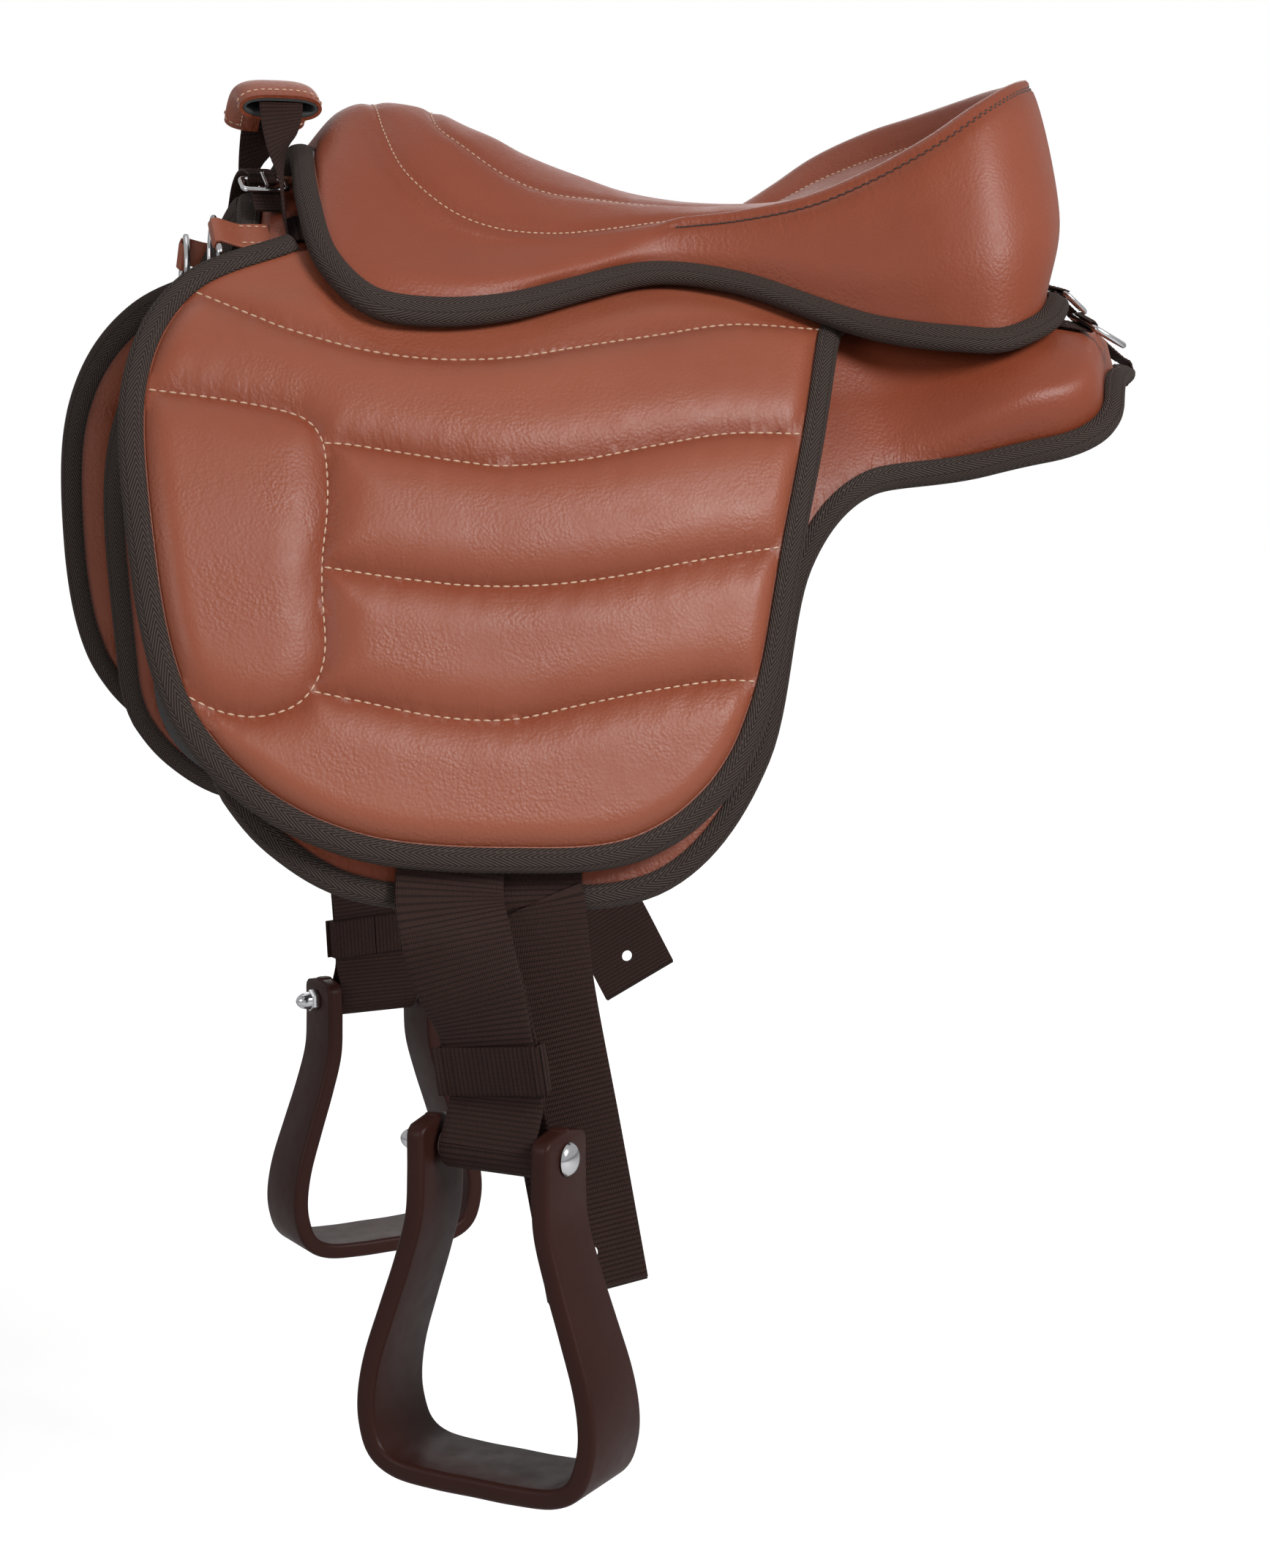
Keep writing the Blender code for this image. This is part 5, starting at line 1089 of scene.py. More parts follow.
def seat():
    """The padded seat: its leather, edge tape, felt and thread."""
    last = len(SEAT_SHARES) - 1
    stations = np.linspace(0, last, last * SEAT_FINE + 1)
    steps = np.concatenate((np.linspace(-1, 0, 4)[:-1], np.linspace(0, 5, 5 * SEAT_STEPS + 1)))
    places = both_halves(seat_places(stations, steps))
    normals = grid_normals(places)
    if normals[:, len(steps) // 2:, 2].mean() < 0:
        normals = -normals
    for flat in (np.s_[:, -1], np.s_[0], np.s_[-1]):
        normals[flat] = unit(normals[flat] * (1, 0, 1))
    reach = np.stack([lengths(line) for line in places])
    around = np.concatenate((stations, stations[-2::-1]))
    rim, outer, inner = (3 + step * SEAT_STEPS for step in (2, 3, 4))
    behind = ramp(around, CANTLE_STATION - CANTLE_BLEND, CANTLE_STATION + CANTLE_BLEND)[:, None]
    sink = np.zeros(reach.shape)
    for column, depth, width in ((outer, SEAM_DEPTH, SEAM_WIDTH), (inner, SEAM_DEPTH, SEAM_WIDTH),
                                 (rim, CANTLE_SEAM_DEPTH * behind, CANTLE_SEAM_WIDTH)):
        away = reach - reach[:, column][:, None]
        sink += depth * np.exp(-(away / width) ** 2)
    for low, puff in zip((2, 3, 4), SEAT_PUFFS):
        share = np.clip(steps - low, 0, 1)
        sink -= puff * (behind if low == 2 else 1) * (4 * share * (1 - share))[None]
    places = places - normals * sink[..., None]
    leather = sheet("seat_leather", places)
    if sum(face.normal.z for face in leather.data.polygons) < 0:
        edit(leather, bpy.ops.mesh.flip_normals)
    cantle = places[around >= CANTLE_STATION][:, rim]
    mark_nearness(leather, [places[:, outer], places[:, inner], cantle])
    apply_modifier(leather, "SOLIDIFY", thickness=SEAT_LEATHER, offset=-1)
    # The seat takes the darker copy of the leather, as painted shade
    dress(leather, "shaded_leather", "saddle", "seat_cover", "cantle_cover", "seat_foam", padded=0.8)
    dress(join("seat_thread", [stitches("row", places[:, column], normals[:, column], FINE)
                               for column in (outer, inner)]), "thread", "saddle")
    keep = around >= CANTLE_STATION + CANTLE_THREAD_INSET
    dress(zigzag("cantle_thread", places[keep][:, rim], normals[keep][:, rim]), "dark_thread",
          "saddle")
    seat_felt(stations)
    edge, outs = (np.concatenate((half * (1, -1), half[-2::-1])) for half in seat_outline(stations))
    level = seat_level(edge[:, 0])
    binding = edge_tape("seat_tape", edge - outs * RIM_WIDTH, outs, 1, level - GAP,
                        level + SEAT_FLANGE + GAP, closed=True)
    dress(binding, "tape", "saddle", "seat_binding")


def zigzag(name, line, normals):
    """A row of stitches that turn from side to side."""
    count = int(lengths(line)[-1] / ZIGZAG_PITCH)
    at = even_steps(line, count)
    spots, ups = spline(line, at), unit(spline(normals, at))
    aside = unit(np.cross(ups, np.gradient(spots, axis=0)))
    spots = spots + aside * np.where(np.arange(count + 1) % 2, 1.0, -1.0)[:, None] * ZIGZAG_HALF
    pitch = np.linalg.norm(np.diff(spots, axis=0), axis=1).sum() / count
    return stitches(name, spots, ups, (pitch, pitch, ZIGZAG_RADIUS))


def seat_felt(stations):
    """The seat's felt underside."""
    stations = stations[::5]
    edge, outs = seat_outline(stations)
    inner = edge - outs * (RIM_WIDTH + SEAT_FELT_INSET)
    ridge = spline(np.array(SEAT_SHARES)[:, 5], stations) * SEAT_LENGTH - SEAT_FRONT
    middle = np.stack((ridge, np.zeros(len(ridge))), axis=-1)
    spots = np.stack([edge - outs * SEAT_FELT] + [
        inner + (middle - inner) * share for share in np.linspace(0, 1, 7)], axis=1)
    level = seat_level(spots[..., 0]) + SEAT_FELT
    piece = sheet("seat_felt", both_halves(over_back(spots, -1, level)))
    apply_modifier(piece, "SOLIDIFY", thickness=SEAT_FELT, offset=-1)
    face_outwards(piece)
    dress(piece, "felt", "saddle", "seat_underside", padded=0.1)


# Straps, rings and buckles


def arc(centre, a, b, radius, start, end, steps):
    """Points round a centre from start to end degrees, a and b being the two axes."""
    turn = np.radians(np.linspace(start, end, steps + 1))[:, None]
    return centre + a * radius * np.cos(turn) + b * radius * np.sin(turn)


def patch_axes(x, reach, level):
    """A place over the back with its lengthwise, sideways and outward directions."""
    along = unit(back_point(x + PROBE, reach, level) - back_point(x - PROBE, reach, level))
    across = unit(back_point(x, reach + PROBE, level) - back_point(x, reach - PROBE, level))
    return back_point(x, reach, level), along, across, unit(np.cross(along, across))


def rounded(corners, radius, steps=5):
    """A closed line through the corners with each of them rounded."""
    made = []
    for k, corner in enumerate(corners):
        before = unit(corners[k - 1] - corner)
        after = unit(corners[(k + 1) % len(corners)] - corner)
        start, end = corner + before * radius, corner + after * radius
        share = np.linspace(0, 1, steps)[:, None]
        made.append(start * (1 - share) ** 2 + corner * 2 * share * (1 - share) + end * share ** 2)
    return np.concatenate(made)


def ring_and_tab(word, side):
    """A D-ring in its folded tab on the base."""
    x, reach, bar_level, tab_level, facing, hang = RINGS[word]
    name = side_name(side)
    bar, along, across, out = patch_axes(x, side * reach, bar_level)
    along = along * facing
    inner = WIRE_RADIUS + GAP + TAB_THICKNESS / 2
    loop = arc(bar, along, out, inner, -100 * facing, 130 * facing, 16)
    root, fold = (back_point(x - facing * TAB_LENGTH * share, side * reach, tab_level)
                  for share in (1, TAB_FOLD_SHARE))
    kind, thread, pitch = RING_TAB_KINDS[word]
    tab = strap("%s_tab_%s" % (word, name), np.concatenate(([root, (root + fold) / 2, fold], loop)),
                across, TAB_WIDTH, TAB_THICKNESS, pitch)
    dress(tab, kind, "saddle", "%s_ring_tab_%s" % (word, name))
    line = np.linspace(root, fold, 30) + out * TAB_THICKNESS / 2
    dress(join("%s_tab_thread_%s" % (word, name), [
        stitches("row", line + across * share * TAB_WIDTH, out, FINE)
        for share in (-TAB_SEAM_SHARE, TAB_SEAM_SHARE)]), thread, "saddle")
    down = unit(along * math.cos(hang) - out * math.sin(hang))
    half = D_RING_WIDTH / 2
    bow = bar + down * (D_RING_HEIGHT - half)
    ends = [bar + across * aside + down * low for aside, low in (
        (D_RING_BEND - half, 0.0), (half - D_RING_BEND, 0.0), (half, D_RING_BEND),
        (-half, D_RING_BEND))]
    points = np.concatenate((ends[:3], arc(bow, across, down, half, 0, 180, 24), ends[3:]))
    ring = wire("%s_d_ring_%s" % (word, name), points, WIRE_RADIUS)
    body = "%s_ring_%s" % (word, name)
    dress(ring, "chrome", body, body, sharp=70)


def buckle(word, bar, wide, run, out):
    """A buckle: its frame, and the tongue that turns on its bar. Returns the far bar."""
    far = bar + run * BUCKLE_LENGTH
    half = wide * BUCKLE_WIDTH / 2
    rim = wire(word + "_buckle", rounded(np.array((bar - half, bar + half, far + half, far - half)),
                                         RING_CORNER), BUCKLE_WIRE)
    dress(rim, "chrome", "saddle", word + "_buckle_frame", sharp=70)
    eye = arc(bar, run, out, BUCKLE_WIRE + TONGUE_WIRE + GAP * 2, 250, 60, 16)
    tip = far + run * TONGUE_WIRE * 2 + out * (BUCKLE_WIRE + GAP + TONGUE_WIRE)
    tongue = wire(word + "_buckle_pin", np.concatenate((eye, [tip])), TONGUE_WIRE, closed=False)
    dress(tongue, "chrome", word + "_tongue", word + "_buckle_tongue", sharp=70)
    return far


def buckled_strap(word, bar, wide, run, out, upper, lower):
    """The two straps of a buckle; the lower one's tip lies under the buckle's tongue."""
    far = buckle(word, bar, wide, run, out)
    top = BUCKLE_WIRE + GAP + STRAP_THICKNESS / 2
    loop = arc(bar, -run, out, top, 90, 290, 16)
    tip = bar + run * (top * 2 + STRAP_THICKNESS) - out * top
    for end, node, points in (
            ("held", "upper", (upper, loop, [loop[-1] - run * STRAP_RETURN])),
            ("free", "lower", ([tip, far - out * top], lower))):
        piece = strap("%s_strap_%s" % (word, end), np.concatenate(points), wide, STRAP_WIDTH,
                      STRAP_THICKNESS)
        dress(piece, "webbing", "saddle", "%s_strap_%s" % (word, node))


def front_strap():
    """The short buckled strap over the withers."""
    bar, along, across, out = patch_axes(FRONT_STRAP_X, FRONT_BAR_REACH, FRONT_BAR_LEVEL)
    upper, lower = ([back_point(FRONT_STRAP_X, reach * FRONT_STRAP_REACH, level * FRONT_BAR_LEVEL)
                     for reach, level in shares]
                    for shares in (FRONT_UPPER_SHARES, FRONT_LOWER_SHARES))
    buckled_strap("front", bar, along, -across, out, upper, lower)


def rear_strap():
    """The buckled strap from the cantle to the back edge of the base."""
    bar, wide = np.array(REAR_BAR), np.array((0.0, 1.0, 0.0))
    flat, steep = math.cos(REAR_BUCKLE_SLOPE), math.sin(REAR_BUCKLE_SLOPE)
    run, out = np.array((flat, 0.0, -steep)), np.array((steep, 0.0, flat))
    last = np.array((len(SEAT_SHARES) - 1.0,))
    steps = np.array((2, 1)) * REAR_STRAP_STEP
    spots, above, below = (seat_places(last, steps + way)[0]
                           for way in (0.0, STATION_STEP, -STATION_STEP))
    normal = unit(np.cross(wide, above - below))
    upper = (spots + normal * (REAR_STRAP_STANDOFF + STRAP_THICKNESS / 2)) * (1, 0, 1)
    lower = bar + np.array([(x, 0.0, z) for x, z in REAR_LOWER_SHARES]) * REAR_STRAP_DROP
    buckled_strap("rear", bar, wide, run, out, upper, lower)


def hand_strap():
    """The grab strap at the pommel: webbing through a lined leather grip."""
    forward, aside, up = np.eye(3)
    centre = np.array((GRIP_X, 0.0, GRIP_TOP - GRIP_RADIUS))
    span = GRIP_HALF_SPAN / GRIP_RADIUS
    angle = (math.pi / 2 + span * np.linspace(1, -1, 41))[:, None, None]
    out = aside * np.cos(angle) + up * np.sin(angle)
    middle = centre + out * GRIP_RADIUS
    turn = (-math.pi / 2 + GRIP_SLIT
            + 2 * (math.pi - GRIP_SLIT) * np.linspace(0, 1, 61))[None, :, None]
    flat = np.abs(np.cos(turn)) ** GRIP_SQUARENESS * np.sign(np.cos(turn))

    def shell(inset):
        """The grip's outside, or its inside at an inset."""
        wide, high = GRIP_WIDTH / 2 - inset, GRIP_THICKNESS / 2 - inset
        return middle + forward * wide * flat + out * high * np.sin(turn)
    grip = slab("grip_leather", shell(GRIP_LEATHER), shell(0.0))
    hem = shell(-GRIP_THREAD_LIFT)
    mark_nearness(grip, [hem[:, 1], hem[:, -2], hem[0], hem[-1]], GRIP_SHADE_REACH)
    dress(grip, "leather", "saddle", "handle_grip", padded=0.3)
    inset = GRIP_LEATHER + GAP
    lining = slab("grip_lining", shell(inset + GRIP_LINING), shell(inset))
    dress(lining, "lining", "saddle", "handle_lining")
    rows = [stitches("row", hem[2:-2, k], hem[2:-2, k] - middle[2:-2, 0], FINE) for k in (4, -5)]
    rows += [stitches("row", hem[k, 4:-4], hem[k, 4:-4] - middle[k], FINE) for k in (3, -4)]
    dress(join("grip_thread", rows), "thread", "saddle")
    level = GRIP_THICKNESS / 2 - GRIP_LEATHER - GRIP_LINING - GRIP_SLACK - STRAP_THICKNESS / 2
    half = arc(centre, aside, up, GRIP_RADIUS + level, 90, 90 - math.degrees(span), 4)
    legs = [np.array((GRIP_X + x * GRIP_WIDTH, y * GRIP_RADIUS, z * GRIP_TOP))
            for x, y, z in HAND_LEG_SHARES]
    foot = [back_point(GRIP_X + x * GRIP_WIDTH, reach * HAND_FOOT_REACH, HAND_FOOT_LEVEL)
            for x, reach in HAND_FOOT_SHARES]
    points = np.concatenate((half, legs, foot))
    face = -patch_axes(foot[-1][0], HAND_FOOT_REACH, HAND_FOOT_LEVEL)[2]
    twists = [share * math.pi / 2 for share in HAND_TWIST_SHARES]
    wides = [forward] * len(half) + [forward * math.cos(k) + face * math.sin(k) for k in twists]
    wides = np.array(wides + [face] * (len(points) - len(wides)))
    points, wides = (np.concatenate((half[:0:-1] * (1, -1, 1), half)) for half in (points, wides))
    webbing = strap("grab_webbing", points, wides, HAND_STRAP_WIDTH, STRAP_THICKNESS)
    dress(webbing, "webbing", "saddle", "handle_strap")


# Stirrups and billets


def hanging_course(side, start, over, level, below, out, drop):
    """Points of a strap that lies on the pad from its start and then hangs free."""
    points = []
    for x, reach in over[side]:
        place = start[0] + x * WEBBING_WIDTH, start[1] + reach * (PAD_REACH - start[1])
        points.append(back_point(place[0], side * place[1], level))
    last = points[-1]
    for x, away, down in below[side]:
        points.append(last + np.array((x * WEBBING_WIDTH, side * away * out, -down * drop)))
    return np.array(points)


def leather_frame(side, at):
    """Centre, across, down and out of the stirrup leather at a distance from its ring."""
    points = hanging_course(side, (RING_X, RING_REACH), LEATHER_OVER_SHARES, LEATHER_LEVEL,
                            LEATHER_BELOW_SHARES, LEATHER_OUT, LEATHER_DROP[side])
    marks = lengths(points)

    def centre(distance):
        """The middle at a distance, straight on past its ends."""
        inside = min(max(distance, 0.0), marks[-1])
        spot = spline(points, np.interp(inside, marks, range(len(marks))))
        if distance == inside:
            return spot
        ends = points[:2] if distance < 0 else points[-2:]
        return spot + unit(ends[1] - ends[0]) * (distance - inside)
    down = unit(centre(at + PROBE) - centre(at - PROBE))
    turn = math.radians(np.interp(at, marks, LEATHER_TURNS[side]))
    across = np.array((math.cos(turn), side * math.sin(turn), 0.0))
    across = unit(across - down * np.dot(across, down))
    return centre(at), across, down, unit(np.cross(across, down)) * side, marks[-1]


def leather_point(side, at, aside, off):
    """A place beside the leather's middle: aside along its width, off outwards."""
    centre, across, _, out, _ = leather_frame(side, at)
    return centre + across * aside + out * off


def loop_course(centre, radius, flare, half, towards, steps):
    """(distance, off) points round a bar between the two plies, which part at the flare."""
    lean = math.degrees(math.acos(radius / math.hypot(flare, half)) + math.atan2(half, flare))
    turn = np.radians((180 - lean) * (1 - 2 * np.linspace(0, 1, steps + 1)))
    return [(centre + towards * radius * math.cos(k), radius * math.sin(k)) for k in turn]


def stirrup_leather(side):
    """The webbing that carries a stirrup: a long loop round its ring and the stirrup's sleeve."""
    name = side_name(side)
    length = leather_frame(side, 0.0)[4]
    half = (LEATHER_THICKNESS + PLY_GAP) / 2
    bar = RING_WIRE + GAP + LEATHER_THICKNESS / 2
    tube = SLEEVE_RADIUS + GAP * 2 + LEATHER_THICKNESS / 2
    butt, lower = length - BUTT_ABOVE_BOLT, length - SLEEVE_FLARE
    course = [(at, -half) for at in np.linspace(butt, RING_FLARE, 24)]
    course += [(at, -off) for at, off in loop_course(0.0, bar, RING_FLARE, half, -1, 14)]
    course += [(at, half) for at in np.linspace(RING_FLARE, lower, 36)]
    course += loop_course(length, tube, SLEEVE_FLARE, half, 1, 24)
    course += [(at, -half) for at in np.linspace(lower, butt + GAP * 2, 12)]
    points = np.array([leather_point(side, at, 0.0, off) for at, off in course])
    across = np.array([leather_frame(side, at)[1] for at, _ in course])
    webbing = strap("stirrup_webbing_" + name, points, across, WEBBING_WIDTH, LEATHER_THICKNESS)
    dress(webbing, "webbing", "leather_" + name, "stirrup_leather_" + name)
    rows = []
    for at in (butt + inset for inset in BUTT_SEAM_INSETS):
        line = np.linspace(*(leather_point(side, at, aside, -half - LEATHER_THICKNESS / 2)
                             for aside in (-BUTT_SEAM_HALF, BUTT_SEAM_HALF)), 20)
        rows.append(stitches("row", line, -leather_frame(side, at)[3]))
    dress(join("stirrup_webbing_thread_" + name, rows), "dark_thread", "leather_" + name)
    middle = length - KEEPER_ABOVE_BOLT
    wide = WEBBING_WIDTH / 2 + KEEPER_CLEARANCE + KEEPER_THICKNESS / 2
    high = LEATHER_THICKNESS + PLY_GAP / 2 + KEEPER_CLEARANCE + KEEPER_THICKNESS / 2
    ring = rounded(np.array(((wide, -high), (wide, high), (-wide, high), (-wide, -high))),
                   KEEPER_THICKNESS)
    points = [leather_point(side, middle, aside, off)
              for aside, off in ((GAP, -high), *ring, (-GAP, -high))]
    loop = strap("webbing_keeper_" + name, points, leather_frame(side, middle)[2], KEEPER_LENGTH,
                 KEEPER_THICKNESS, KEEPER_RIB_PITCH)
    dress(loop, "webbing", "keeper_" + name, "keeper_" + name)


def hanger_and_ring(side):
    """The short webbing loop on the base pad and the steel ring it carries."""
    name = side_name(side)
    half = RING_WIDTH / 2
    outline = [leather_point(side, at, aside, 0.0) for aside, at in (
        (half, 0.0), (half, -RING_HEIGHT), (-half, -RING_HEIGHT), (-half, 0.0))]
    ring = wire("leather_ring_" + name, rounded(np.array(outline), STIRRUP_RING_CORNER), RING_WIRE)
    dress(ring, "chrome", "leather_" + name, "stirrup_ring_" + name, sharp=70)
    radius = RING_WIRE + HANGER_CLEARANCE + STRAP_THICKNESS / 2
    top = RING_REACH - RING_HEIGHT
    course = [(HANGER_TOP_REACH, -radius), ((HANGER_TOP_REACH + top) / 2, -radius), (top, -radius)]
    course += [(top + HANGER_SLACK + radius * math.cos(k), radius * math.sin(k))
               for k in np.radians(np.linspace(-90, 90, 15))]
    ply = -radius + STRAP_THICKNESS + GAP
    course += [(top - HANGER_SLACK * 2, radius), (top - RING_HEIGHT, ply), (HANGER_TOP_REACH, ply)]
    points = [back_point(RING_X, side * reach, LEATHER_LEVEL + off) for reach, off in course]
    loop = strap("hanger_webbing_" + name, points, leather_frame(side, -RING_HEIGHT)[1],
                 HANGER_WIDTH, STRAP_THICKNESS)
    dress(loop, "webbing", "saddle", "stirrup_hanger_" + name)


def stirrup(side):
    """A moulded stirrup with its bolt, cap nut and the sleeve that the webbing runs round."""
    name = side_name(side)
    bolt, across, down, out, _ = leather_frame(side, leather_frame(side, 0.0)[4])
    shares = np.array(STIRRUP_SHARES)
    shares = np.concatenate((shares, shares[-2::-1] * (-1, 1, 1)))
    line = spline(shares, np.linspace(0, len(shares) - 1, 161)) * (
        (STIRRUP_BULGE - STIRRUP_WALL) / 2, STIRRUP_HEIGHT - STIRRUP_WALL / 2, STIRRUP_DEPTH / 2)
    line = resample(line, STIRRUP_STEP)
    run = unit(np.gradient(line[:, :2], axis=0))
    thick = STIRRUP_WALL / 2 - STIRRUP_ROUND
    from_top = 1 - np.minimum(line[:, 1] / ARM_ROUND, 1.0)
    deep = line[:, 2] * np.maximum(1 - from_top ** ARM_POWER, 0.0) ** (1 / ARM_POWER)
    deep = np.maximum(deep, ARM_LEAST_DEPTH)
    section = [(a, b, math.cos(k), math.sin(k))
               for quarter, (a, b) in enumerate(((1, 1), (-1, 1), (-1, -1), (1, -1)))
               for k in np.radians(np.linspace(0, 90, 5) + 90 * quarter)]
    rings = []
    for (aside, low, _), (dx, dz), depth in zip(line, run, deep):
        ring = []
        for a, b, ca, sa in section:
            grow = a * thick + STIRRUP_ROUND * ca
            away = b * (depth - STIRRUP_ROUND) + STIRRUP_ROUND * sa
            spot = bolt + across * (aside + dz * grow) + down * (low - dx * grow - ARM_ABOVE_BOLT)
            ring.append(spot + out * away)
        rings.append(ring)
    rings = np.array(rings)
    rings = np.concatenate((shrunk(rings[:1], rings[1] - rings[0]), rings,
                            shrunk(rings[-1:], rings[-2] - rings[-1])[::-1]))
    body = loft("moulded_stirrup_" + name, rings)
    dress(body, "moulding", "stirrup_" + name, "stirrup_" + name, sharp=50)
    arm = STIRRUP_NECK / 2 + GAP
    profile = [(-arm - BOLT_PAST_ARM, 0.0), (-arm - BOLT_PAST_ARM, BOLT_RADIUS),
               (arm, BOLT_RADIUS), (arm, BOLT_HEAD_SEAT_RADIUS),
               (arm + BOLT_HEAD_BEVEL, BOLT_HEAD_RADIUS)]
    profile += [(arm + BOLT_HEAD_HEIGHT * math.sin(k), BOLT_HEAD_RADIUS * math.cos(k))
                for k in np.linspace(BOLT_DOME_START, math.pi / 2, 9)]
    pin = turned("domed_bolt_" + name, profile, bolt, across)
    dress(pin, "chrome", "stirrup_" + name, "bolt_" + name)
    nut = cap_nut("acorn_nut_" + name, bolt - across * arm, -across)
    dress(nut, "chrome", "stirrup_" + name, "cap_nut_" + name)
    inside = STIRRUP_NECK / 2 - STIRRUP_WALL - SLEEVE_END_GAP
    bore, bevel = BOLT_RADIUS + GAP, SLEEVE_BEVEL
    wall = [(-inside, bore), (-inside, SLEEVE_RADIUS - bevel), (-inside + bevel, SLEEVE_RADIUS),
            (inside - bevel, SLEEVE_RADIUS), (inside, SLEEVE_RADIUS - bevel), (inside, bore)]
    sleeve = turned("bolt_sleeve_" + name, wall + wall[:1], bolt, across)
    dress(sleeve, "chrome", "leather_" + name, "sleeve_" + name)


def shrunk(ring, step):
    """Two smaller rings before an end, which round it off."""
    centre = ring.mean(axis=1, keepdims=True)
    back = -unit(step.mean(axis=0)) * ARM_CAP
    return np.concatenate([centre + (ring - centre) * share + back * away
                           for share, away in ARM_CAP_SHARES])


def cap_nut(name, centre, axis):
    """A domed hexagon nut."""
    sides = 48
    turn = np.linspace(0, 2 * math.pi, sides, endpoint=False)
    flat = math.pi / 3
    hexagon = NUT_RADIUS * math.cos(flat / 2) / np.cos((turn + flat / 2) % flat - flat / 2)
    profile = [(along, hexagon * share) for along, share in NUT_HEX_SHARES]
    dome = NUT_HEIGHT - NUT_HEX_HEIGHT
    profile += [(NUT_HEX_HEIGHT + dome * math.sin(k), NUT_RADIUS * NUT_DOME_SHARE * math.cos(k))
                for k in np.linspace(0.0, NUT_DOME_END, 9)]
    return turned(name, profile, centre, axis, sides)


def billet(side):
    """A girth billet: webbing from the base pad down past the flap, with a hole at its end."""
    name = side_name(side)
    keys = hanging_course(side, (BILLET_X, BILLET_REACH), BILLET_OVER_SHARES, BILLET_LEVEL,
                          BILLET_BELOW_SHARES, BILLET_OUT[side], BILLET_DROP[side])
    points = spline(keys, np.linspace(0, len(keys) - 1, 60))
    run = unit(np.gradient(points, axis=0))
    out = unit(np.cross((1.0, 0.0, 0.0), run))
    across = unit(np.cross(run, out))
    webbing = strap("billet_webbing_" + name, points, across, WEBBING_WIDTH, WEBBING_THICKNESS)
    spot = points[-1] - run[-1] * BILLET_HOLE_INSET
    punch = turned("punch", [(-PUNCH_REACH, 0.0), (-PUNCH_REACH, BILLET_HOLE_RADIUS),
                             (PUNCH_REACH, BILLET_HOLE_RADIUS), (PUNCH_REACH, 0.0)],
                   spot, out[-1], 28)
    apply_modifier(webbing, "BOOLEAN", operation="DIFFERENCE", solver="EXACT", object=punch)
    bpy.data.objects.remove(punch)
    dress(webbing, "webbing", "billet_" + name, "girth_billet_" + name)
    rim = arc(spot + out[-1] * WEBBING_THICKNESS / 2, across[-1], run[-1],
              BILLET_HOLE_RADIUS + MELTED_RIM_STEP, 0, 360, 28)[:-1]
    side_step = across[-1] * MELTED_HALF
    end = np.linspace(points[-1] - side_step, points[-1] + side_step, 14)
    melted = [wire("rim", rim, MELTED_RIM_WIRE), wire("end", end, MELTED_END_WIRE, closed=False)]
    dress(join("billet_melted_edges_" + name, melted), "melted", "billet_" + name, sharp=60)


# Finishes


class Nodes:
    """Short ways to add nodes to a tree."""

    def __init__(self, tree):
        self.tree = tree

    def put(self, kind, inputs=None, **settings):
        """Add a node with its settings, its values and what is linked to it."""
        made = self.tree.nodes.new("ShaderNode" + kind)
        for key, value in settings.items():
            setattr(made, key, value)
        for key, value in (inputs or {}).items():
            if isinstance(value, bpy.types.NodeSocket):
                self.tree.links.new(value, made.inputs[key])
            else:
                made.inputs[key].default_value = value
        return made

    def maths(self, operation, *values):
        """The result of one sum."""
        return self.put("Math", dict(enumerate(values)), operation=operation).outputs[0]

    def add(self, first, second):
        """The sum of two values."""
        return self.maths("ADD", first, second)

    def times(self, first, second):
        """The product of two values."""
        return self.maths("MULTIPLY", first, second)


class Finish(Nodes):
    """A material, with values set on its shader's own sockets."""

    def __init__(self, name, **values):
        self.material = bpy.data.materials.new(name)
        self.material.use_nodes = True
        super().__init__(self.material.node_tree)
        self.spot = self.put("TexCoord").outputs
        for key, value in values.items():
            self.socket(key).default_value = value

    def socket(self, key):
        """The shader's socket of that name."""
        shader = self.tree.nodes["Principled BSDF"]
        return shader.inputs[key.replace("_", " ").title().replace("Ior", "IOR")]

    def mixed(self, share, low, high):
        """A colour between two others."""
        return self.put("Mix", {0: share, 6: low, 7: high}, data_type="RGBA").outputs[2]

    def noise(self, scale, detail=3.0, roughness=0.5, distortion=0.0, stretch=None):
        """A soft random value over the piece."""
        place = self.spot["Object"]
        if stretch:
            place = self.put("Mapping", {"Vector": place, "Scale": stretch}).outputs[0]
        return self.put("TexNoise", {"Vector": place, "Scale": scale, "Detail": detail,
                                     "Roughness": roughness, "Distortion": distortion}).outputs[0]

    def spread(self, value, low, high, to_low=0.0, to_high=1.0):
        """The value moved from one range to another and kept in it."""
        return self.put("MapRange", {0: value, 1: low, 2: high, 3: to_low, 4: to_high}).outputs[0]

    def relief(self, height, distance, strength=1.0, under=None):
        """A bump of the surface."""
        inputs = {"Height": height, "Distance": distance, "Strength": strength}
        if under:
            inputs["Normal"] = under
        return self.put("Bump", inputs).outputs[0]

    def along_and_across(self):
        """Metres along and across a strap or tape."""
        return self.put("SeparateXYZ", {0: self.spot["UV"]}).outputs[:2]

    def done(self, **sockets):
        """Link what was made to the shader's sockets."""
        for key, value in sockets.items():
            self.tree.links.new(value, self.socket(key))
        return self.material


